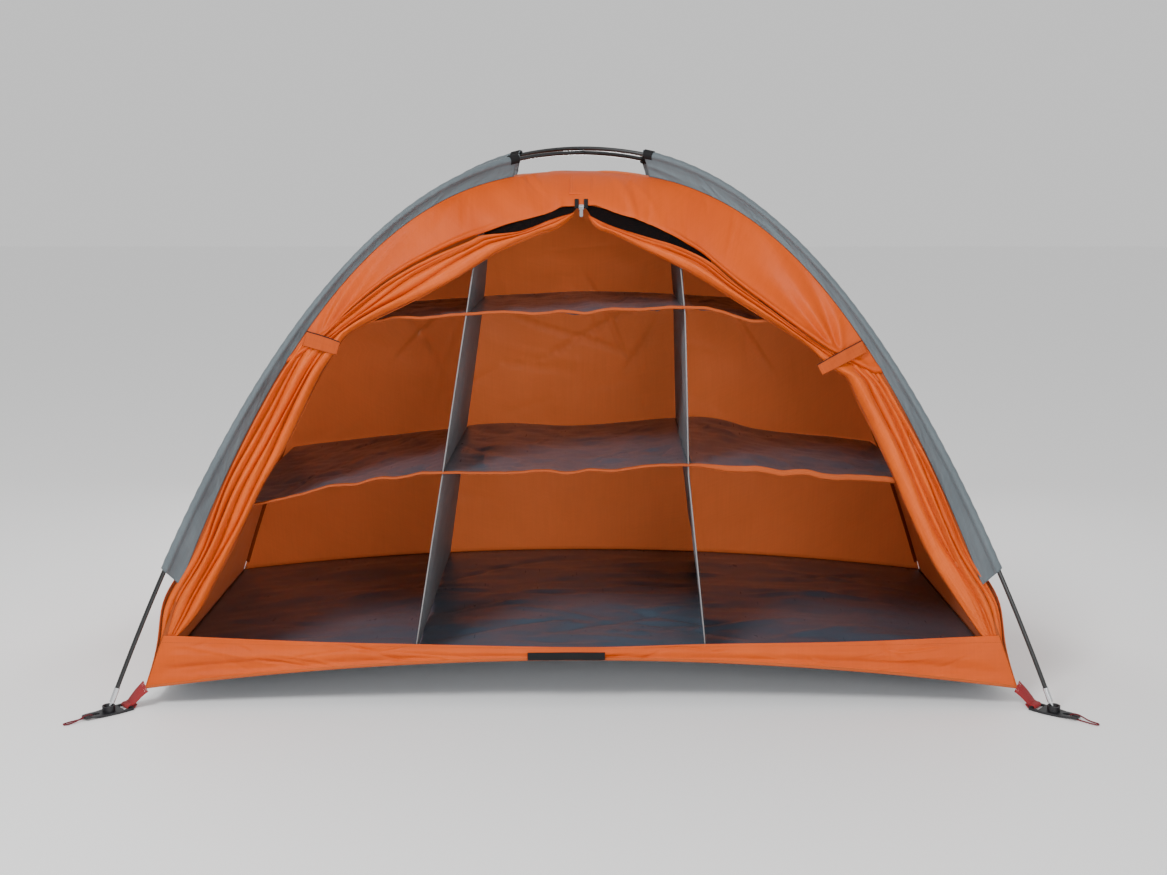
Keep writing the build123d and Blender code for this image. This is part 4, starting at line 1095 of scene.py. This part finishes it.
GATHER = {
    LEFT: {
        "outer": [
            (0.014, 0.8625), (0.055, 0.849), (0.115, 0.828), (0.178, 0.822), (0.205, 0.811), (0.276, 0.781),
            (0.346, 0.741), (0.416, 0.686), (0.46, 0.650), (0.487, 0.634),
        ],
        "inner": [
            (0.013, 0.862), (0.043, 0.838), (0.079, 0.826), (0.15, 0.7945), (0.221, 0.751), (0.292, 0.713),
            (0.363, 0.679), (0.415, 0.651), (0.434, 0.628),
        ],
        "side": [
            (0.434, 0.628), (0.449, 0.604), (0.464, 0.579), (0.493, 0.519), (0.5275, 0.45), (0.568, 0.381),
            (0.601, 0.312), (0.6415, 0.2345), (0.677, 0.170), (0.716, 0.125),
        ],
        "tie_z": 0.632, "low": 0.113, "upper": (0.6, 0.8, 1.0, 1.6), "lower": (0.9, 0.6, 1.7, 0.7, 1.4), "seed": 41,
    },
    RIGHT: {
        "outer": [
            (0.014, 0.858), (0.052, 0.839), (0.12, 0.818), (0.174, 0.802), (0.232, 0.775), (0.28, 0.735),
            (0.35, 0.684), (0.42, 0.633), (0.457, 0.614), (0.497, 0.600),
        ],
        "inner": [
            (0.013, 0.8575), (0.03, 0.838), (0.066, 0.824), (0.138, 0.788), (0.209, 0.751), (0.279, 0.708),
            (0.35, 0.665), (0.403, 0.630), (0.435, 0.600),
        ],
        "side": [
            (0.435, 0.600), (0.456, 0.585), (0.473, 0.572), (0.49, 0.536), (0.524, 0.4675), (0.555, 0.399),
            (0.585, 0.33), (0.62, 0.2605), (0.6645, 0.191), (0.711, 0.125),
        ],
        "tie_z": 0.600, "low": 0.113, "upper": (0.5, 0.7, 1.0, 1.8), "lower": (0.6, 0.5, 1.0, 0.7, 2.6), "seed": 43,
    },
}
UPPER_ROWS, SIDE_ROWS = 150, 190
FOLD_COLUMNS, HIDDEN_PASSES, HIDDEN_COLUMNS = 15, 4, 25
VALLEY_OUT, FOLD_RISE = -0.0055, 0.0215
PLEAT_OUT, PLEAT_STEP, PLEAT_DEEP = -0.0058, 0.0024, 0.0011


def fold_height(v, borders, sizes):
    """Rounded folds between borders: the height of the fold that holds v."""
    total = np.zeros(np.broadcast(v, borders[0]).shape)
    for low, high, size in zip(borders[:-1], borders[1:], sizes):
        u = np.clip(2 * (v - low) / np.maximum(high - low, 1e-4) - 1, -1, 1)
        total = np.maximum(total, size * (1 - u * u) ** 0.55)
    return total


def drifting(along, seed, amount, broad):
    """Borders of the folds, 0 to 1, each wandering along the gather, and how high each fold stands."""
    pick = np.random.default_rng(seed)
    count = len(broad)
    shares = np.concatenate([[0], np.cumsum(broad) / np.sum(broad)])
    borders = [0 * along]
    for k in range(1, count):
        wave = np.sin(along * pick.uniform(3, 7) + pick.uniform(0, 6))
        wave = wave + 0.6 * np.sin(along * pick.uniform(9, 15) + pick.uniform(0, 6))
        borders.append(shares[k] + amount / count * wave)
    borders.append(0 * along + 1)
    mean = np.mean(broad)
    sizes = [
        (b / mean) ** 0.3 * (0.72 + 0.28 * np.sin(along * pick.uniform(3, 9) + pick.uniform(0, 6))) for b in broad
    ]
    return borders, sizes


def gather(side):
    """Visible folds from the outer to the inner edge, then flat pleats to and fro behind them."""
    plan = GATHER[side]
    outer = np.concatenate([
        side_curve(plan["outer"], side, UPPER_ROWS),
        (seam_run(plan["outer"][-1][1], plan["low"], SIDE_ROWS + 1) * (side, 1))[1:],
    ])
    inner = np.concatenate([
        side_curve(plan["inner"], side, UPPER_ROWS), side_curve(plan["side"], side, SIDE_ROWS + 1)[1:],
    ])
    past_tie = np.arange(len(outer))[:, None] - UPPER_ROWS + 1
    upper = np.clip(past_tie / (UPPER_ROWS - 1) + 1, 0, 1)
    lower = np.clip(past_tie / SIDE_ROWS, 0, 1)
    at_tie = np.exp(-((past_tie / 13.0) ** 2))
    width = np.linalg.norm(outer - inner, axis=1)[:, None]
    shown = np.linspace(0, 1, len(plan["lower"]) * FOLD_COLUMNS)[None, :]

    above, above_size = drifting(upper, plan["seed"], 0.3, plan["upper"])
    below, below_size = drifting(lower, plan["seed"] + 1, 0.26, plan["lower"])
    blend_in = np.clip((past_tie + 7) / 16, 0, 1)
    high = fold_height(shown, above, above_size) * (1 - blend_in) + fold_height(shown, below, below_size) * blend_in
    belly = 0.35 + 0.65 * np.sin(np.pi * np.clip(lower * 0.93 + 0.09, 0, 1)) ** 0.5
    swell = np.where(lower > 0, np.clip(width / 0.055, 0.1, 1.25) * belly, np.clip(width / 0.05, 0.1, 1.0))
    swell = swell * (1 - 0.45 * at_tie)
    run = upper * 0.55 + lower * 0.62
    fine = soft_noise(run * 0.9, shown * 0.12, 0.07, plan["seed"] + 2) * 0.0009
    fine = fine + soft_noise(run * 0.25, shown * 0.2, 0.03, plan["seed"] + 3) * 0.0007
    shares, offsets = [shown], [VALLEY_OUT + FOLD_RISE * swell * high + fine]
    for layer in range(HIDDEN_PASSES):
        across = np.linspace(0, 1, HIDDEN_COLUMNS)[None, :]
        if layer % 2 == 0:
            across = 1 - across
        pleat = np.abs((across * 6 + layer * 0.37 + 0.2 * np.sin(run * 20)) % 1 - 0.5) * 4 - 1
        shares.append(0.01 + across * 0.98)
        offsets.append(PLEAT_OUT - PLEAT_STEP * layer + PLEAT_DEEP * pleat * np.clip(width / 0.05, 0.15, 1))
    outer[:, 0] += side * corner_slack(outer[:, 1]) * (lower[:, 0] > 0)
    v, out = np.concatenate(shares, axis=1), np.concatenate(offsets, axis=1)
    x = outer[:, :1] * (1 - v) + inner[:, :1] * v
    z = outer[:, 1:] * (1 - v) + inner[:, 1:] * v
    points = front(x, z, out)
    name = SIDE_NAMES[side]
    piece = sheet_piece(
        f"{name}_door_cloth", points, ORANGE_DOOR, f"{name}_door", flip=side == RIGHT, thick=0,
    )
    print(f"  {name} door: {cloth_size(points)[2]:.3f} m2 of cloth")


for side in (LEFT, RIGHT):
    gather(side)
print("doors gathered")

# %% [markdown]
# ## Mesh slits, zip and flap
# Between the visor and the gather a slit of black mesh shows on each side of the zip; its holes are
# filled with painted shade. The zip's own end is closer to the eye than anything else: a silver
# slider with its puller, two stubs of black tape with their coils, and above them a flap stitched
# down with two rows on each side.

# %% Mesh slits
SLIT = {
    LEFT: (
        [(0.009, 0.8762), (0.025, 0.874), (0.079, 0.861), (0.151, 0.8445), (0.176, 0.8285)],
        [(0.009, 0.8712), (0.026, 0.857), (0.055, 0.848), (0.115, 0.8265), (0.176, 0.8215)],
    ),
    RIGHT: (
        [(0.009, 0.8762), (0.019, 0.874), (0.066, 0.861), (0.1385, 0.8355), (0.21, 0.802), (0.234, 0.781)],
        [(0.009, 0.8712), (0.024, 0.854), (0.052, 0.837), (0.12, 0.816), (0.174, 0.801), (0.234, 0.774)],
    ),
}


MESH_OUT = -0.0064


def mesh_slit(side):
    """A grid between the slit's two edges, just behind the visor, with faint sags."""
    high, low = [side_curve(line, side, 90) for line in SLIT[side]]
    t = np.linspace(-0.12, 1.12, 16)[:, None]
    x = high[None, :, 0] * (1 - t) + low[None, :, 0] * t
    z = high[None, :, 1] * (1 - t) + low[None, :, 1] * t
    points = front(x, z, MESH_OUT + soft_noise(x, z, 0.05, 51) * 0.0012)
    name = SIDE_NAMES[side]
    piece = sheet_piece(
        f"{name}_mesh_cloth", points, DOOR_MESH_AND_SHADE, f"{name}_door_mesh", flip=side == LEFT, thick=0,
    )
    declare_sheet(piece, points)


for side in (LEFT, RIGHT):
    mesh_slit(side)
print("mesh slits made")

# %% Zip ends and flap
FLAP_HALF, FLAP_LOW, FLAP_TOP = 0.022, 0.892, 0.926
ZIP_TOP, ZIP_LOW = 0.8830, 0.8665
ZIP_TAPE_IN, ZIP_TAPE_OUT, ZIP_COIL_X = 0.0046, 0.0122, 0.0058


def facing_at(x, z):
    """The direction straight out of the front surface."""
    return unit(front(x, z, 0.001) - front(x, z))


def zip_end(side):
    """A stub of black tape with its coil, a row of short flat studs along its inner edge."""
    name = SIDE_NAMES[side]
    z = np.linspace(ZIP_TOP, ZIP_LOW, 40)[:, None]
    across = np.linspace(ZIP_TAPE_IN, ZIP_TAPE_OUT, 9)[None, :]
    lift = 0.0016 + 0.0005 * np.cos((across - 0.0084) / 0.0038 * 1.5)
    sheet_piece(
        f"{name}_zip_tape", front(side * across, z, lift), BLACK_TAPE, f"{name}_zip_chain",
        flip=side == LEFT, thick=0.0006,
    )
    x, rail = side * ZIP_COIL_X, np.linspace(ZIP_TOP - 0.0005, ZIP_LOW + 0.001, 30)
    stitch_row(
        f"{name}_zip_coil", front(x, rail, 0.0024), facing_at(x, rail), ZIP_COIL, "tent",
        pitch=0.0013, long=0.0008, wide=0.0024, high=0.0014,
    )


def zip_flap():
    """A patch a little wider than the zip, its edges turned under."""
    a = np.linspace(-1, 1, 41)[None, :]
    t = np.linspace(0, 1, 31)[:, None]
    z = FLAP_TOP + (FLAP_LOW - FLAP_TOP) * t
    border = np.minimum(1 - np.abs(a), np.minimum(t, 1 - t) * 1.6) * FLAP_HALF
    out = 0.0004 + 0.0014 * (1 - np.exp(-border / 0.0008)) + soft_noise(a * FLAP_HALF, z, 0.02, 61, 2) * 0.0002
    points = front(a * FLAP_HALF, z, out)
    piece = sheet_piece("zip_flap_cloth", points, ORANGE, "zip_flap", flip=True, thick=0.0006)
    declare_sheet(piece, points)
    rail = np.linspace(FLAP_TOP - 0.001, FLAP_LOW + 0.001, 40)
    for number, x in enumerate((-0.0195, -0.0165, 0.0165, 0.0195)):
        stitch_row(
            f"flap_stitches_{number}", front(x, rail, 0.0021), facing_at(x, rail), THREAD, "tent",
            pitch=0.0030, long=0.0021,
        )


for side in (LEFT, RIGHT):
    zip_end(side)
zip_flap()
print("zip and flap made")

# %% [markdown]
# ## Ties
# A strap over each gather holds it. It is sewn at the seam and its free end can be peeled away, so
# it rides on its own body. The cloth under it is pinched, and the strap bows over the folds.

# %% Tie straps
TIES = {
    LEFT: {"root": (0.491, 0.641), "length": 0.062, "width": 0.026, "dip": 16},
    RIGHT: {"root": (0.503, 0.628), "length": 0.090, "width": 0.022, "dip": 27},
}
TIE_OUT, TIE_BOW = 0.0064, 0.0035
TIE_ROWS, TIE_COLUMNS = 50, 15


def tie_band(side):
    """A strip from its root at the seam, inward and down, bowed over the folds."""
    plan = TIES[side]
    dip = np.radians(plan["dip"])
    t = np.linspace(0, 1, TIE_ROWS)[:, None]
    w = np.linspace(-1, 1, TIE_COLUMNS)[None, :]
    along, across = t * plan["length"], w * (1 - 0.12 * t**3) * plan["width"] / 2
    x = plan["root"][0] - along * np.cos(dip) - across * np.sin(dip)
    z = plan["root"][1] - along * np.sin(dip) + across * np.cos(dip)
    out = TIE_OUT + TIE_BOW * np.sin(np.pi * np.clip(t * 1.05, 0, 1)) + 0.0007 * np.sin(t * 17 + w * 1.5)
    out = out + 0.0009 * np.abs(w) ** 3
    points = front(side * x, z, out)
    name = SIDE_NAMES[side]
    band = sheet_piece(
        f"{name}_tie_band", points, TIE_WEAVE, f"{name}_tie_strap", flip=side == RIGHT, thick=0.0014,
        body=f"{name}_tie",
    )
    away = facing_at(side * x, z)
    # A black strip along each tie's upper edge, where a dark line runs; on the right tie it is painted shadow at the
    # root.
    edge = points[:, -2:] + away[:, -2:] * 0.0008
    faces = grid_faces(TIE_ROWS, 2, flip=side == RIGHT)
    dark_edge = new_piece(f"{name}_tie_dark_edge", edge, faces, cloth_uv(edge), BLACK_TAPE, f"{name}_tie")
    for number, row in enumerate((2, 5, 46)):
        stitch_row(
            f"{name}_tie_stitches_{number}", points[row, 1:-2] + away[row, 1:-2] * 0.0007, away[row, 1:-2], THREAD,
            f"{name}_tie", pitch=0.0028, long=0.002,
        )


for side in (LEFT, RIGHT):
    tie_band(side)
print("ties made")

# %% [markdown]
# ## The organiser
# Two upright dividers and two shelves split the inside into nine compartments. A shelf is a sheet
# hung between the walls: highest in the middle, lower at the sides and lower at the back. Its front
# edge is bound with folded tape and two rows of stitches.

# %% Dividers
DIVIDERS = {
    "left": ([0.08, 0.40, 0.68, 0.91], [-0.298, -0.248, -0.208, -0.176], [-0.299, -0.249, -0.203, -0.174]),
    "right": ([0.08, 0.40, 0.68, 0.91], [0.2235, 0.19, 0.185, 0.167], [0.26, 0.207, 0.194, 0.168]),
}
ROOM_FRONT, ROOM_BACK = 0.021, 0.0035
DIVIDER_TOP, DIVIDER_LOW = {"left": 0.9105, "right": 0.9125}, 0.0835
DIVIDER_HEM = np.array([
    (0.0011, 0.006), (0.0012, 0.001), (0.0007, -0.0006), (-0.0007, -0.0006), (-0.0012, 0.001), (-0.0011, 0.006),
])


def room(z):
    """Front and back limits of the inside at a height."""
    depth = HALF_DEPTH * share_at(z)
    return -(depth - ROOM_FRONT), depth - ROOM_BACK


def divider_x(name, y, z):
    """Where a divider stands, from its front line to its back line."""
    heights, at_front, at_back = DIVIDERS[name]
    share = np.clip((y + 0.34) / 0.68, 0, 1)
    return np.interp(z, heights, at_front) * (1 - share) + np.interp(z, heights, at_back) * share


def divider(name, seed):
    """From the floor to the roof, pulled into slight hollows between the shelves."""
    t = np.linspace(0, 1, 150)[:, None]
    w = np.linspace(0, 1, 70)[None, :]
    z = DIVIDER_TOP[name] + (DIVIDER_LOW - DIVIDER_TOP[name]) * t
    low, high = room(z)
    y = low + (high - low) * w
    edge = fade(w, 0.08) * fade(t, 0.06)
    marks = scattered(30, (-0.3, 0.1), (0.3, 0.9), 1.5, 0.4, 0.15, 0.006, 0.002)
    x = divider_x(name, y, z) + (soft_noise(y, z, 0.22, seed) * 0.004 + creases(y, z, marks)) * edge
    points = xyz(x, y, z)
    piece = sheet_piece(f"{name}_divider_cloth", points, PALE_GREY, f"{name}_divider")
    declare_sheet(piece, points)
    tape = points[:, :1] + xyz(DIVIDER_HEM[:, 0], DIVIDER_HEM[:, 1], 0)
    sheet_piece(f"{name}_divider_tape", tape, PALE_EDGE, thick=0)


divider("left", 71)
divider("right", 72)
print("dividers made")

# %% Shelves
SHELVES = {
    "mid": {
        "front": [
            (-0.64, 0.342), (-0.589, 0.350), (-0.50, 0.368), (-0.412, 0.387), (-0.248, 0.407), (0.0, 0.409),
            (0.19, 0.421), (0.31, 0.412), (0.435, 0.402), (0.55, 0.392), (0.64, 0.378),
        ],
        "back": [
            (-0.666, 0.332), (-0.549, 0.348), (-0.305, 0.376), (-0.184, 0.390), (0.0, 0.3855), (0.256, 0.404),
            (0.389, 0.376), (0.544, 0.360), (0.666, 0.345),
        ],
        "level": 0.39, "binding": ([-0.65, 0.19, 0.26, 0.65], [0.0021, 0.0022, 0.0058, 0.0054]),
    },
    "top": {
        "front": [
            (-0.49, 0.658), (-0.377, 0.670), (-0.208, 0.682), (0.0, 0.686), (0.186, 0.694), (0.323, 0.670),
            (0.49, 0.655),
        ],
        "back": [(-0.49, 0.655), (-0.345, 0.665), (0.0, 0.685), (0.287, 0.674), (0.49, 0.660)],
        "level": 0.68, "binding": ([-0.5, 0.5], [0.0026, 0.0032]),
    },
}


BINDING = np.array([  # back from the shelf's edge, and up as a share of the binding's half height
    (0.013, 0.16), (0.006, 0.42), (0.0012, 0.86), (-0.0008, 0.98), (-0.0022, 0.6), (-0.0024, 0.0), (-0.0022, -0.6),
    (-0.0008, -0.98), (0.0012, -0.86), (0.006, -0.42), (0.013, -0.16),
])
SHELF_GAP, SHELF_SAG, SHELF_RIPPLE = 0.0015, 0.004, 0.0024


def shelf_z(name, x, share):
    """Height of a shelf: from its front line to its back line."""
    plan = SHELVES[name]
    at_front, at_back = [smooth_curve(plan[key], 120) for key in ("front", "back")]
    near, far = np.interp(x, at_front[:, 0], at_front[:, 1]), np.interp(x, at_back[:, 0], at_back[:, 1])
    return near * (1 - share) + far * share


def shelf_points(name, part, seed):
    """One compartment's shelf, with a sag and hollows; its ends meet the wall and the dividers."""
    level = SHELVES[name]["level"]
    low, high = room(level)
    w = np.linspace(0, 1, 60)[:, None]
    y = low + (high - low) * w
    wall_x = HALF_WIDTH * share_at(level) - SEAM_INSIDE
    left, right = divider_x("left", y, level), divider_x("right", y, level)
    ends = {
        "left": (-wall_x, left - SHELF_GAP), "centre": (left + SHELF_GAP, right - SHELF_GAP),
        "right": (right + SHELF_GAP, wall_x),
    }[part]
    u = np.linspace(0, 1, 110)[None, :]
    x = ends[0] + (ends[1] - ends[0]) * u
    z = shelf_z(name, x, w)
    tight = fade(u, 0.12) * fade(w, 0.1)
    marks = scattered(34, (x.min(), -0.25), (x.max(), 0.25), 1.2, 0.9, 0.13, 0.005, 0.0035)
    uneven = soft_noise(x, y, 0.16, seed) * 0.0055 + creases(x, y, marks)
    z = z - SHELF_SAG * tight + uneven * (0.15 + 0.85 * tight)
    z = z + SHELF_RIPPLE * np.sin(x * 46 + 2 * np.sin(x * 17) + seed) * np.exp(-(w / 0.12) ** 2) * fade(u, 0.15)
    return xyz(x, y, z)


def shelf(name, seed):
    """Three cloths and one binding that follows their front edges."""
    fronts = []
    for number, part in enumerate(("left", "centre", "right")):
        points = shelf_points(name, part, seed + number)
        piece = sheet_piece(f"{name}_{part}_cloth", points, COATED, f"{name}_shelf_{part}")
        declare_sheet(piece, points)
        fronts.append(points[0])
    line = even(np.concatenate(fronts), 260)
    high = np.interp(line[:, :1], *SHELVES[name]["binding"])
    tape = line[:, None] + xyz(0, BINDING[:, 0], high * BINDING[:, 1])
    tape[..., 2] += np.sin(line[:, None, 0] * 190 + seed) * 0.00025
    # The binding's darker colour is painted shade along the shelf's front edge.
    sheet_piece(f"{name}_binding_tape", tape, ORANGE_TAPE_AND_SHADE, f"{name}_shelf_binding", thick=0)
    for number, share in enumerate((0.45, -0.45)):
        stitch_row(
            f"{name}_binding_stitches_{number}", line + xyz(0, BINDING[:, 0].min(), share * high[:, 0]), (0, -1, 0),
            THREAD, "tent", pitch=0.0036, long=0.0025,
        )


shelf("mid", 81)
shelf("top", 91)
print("organiser made")
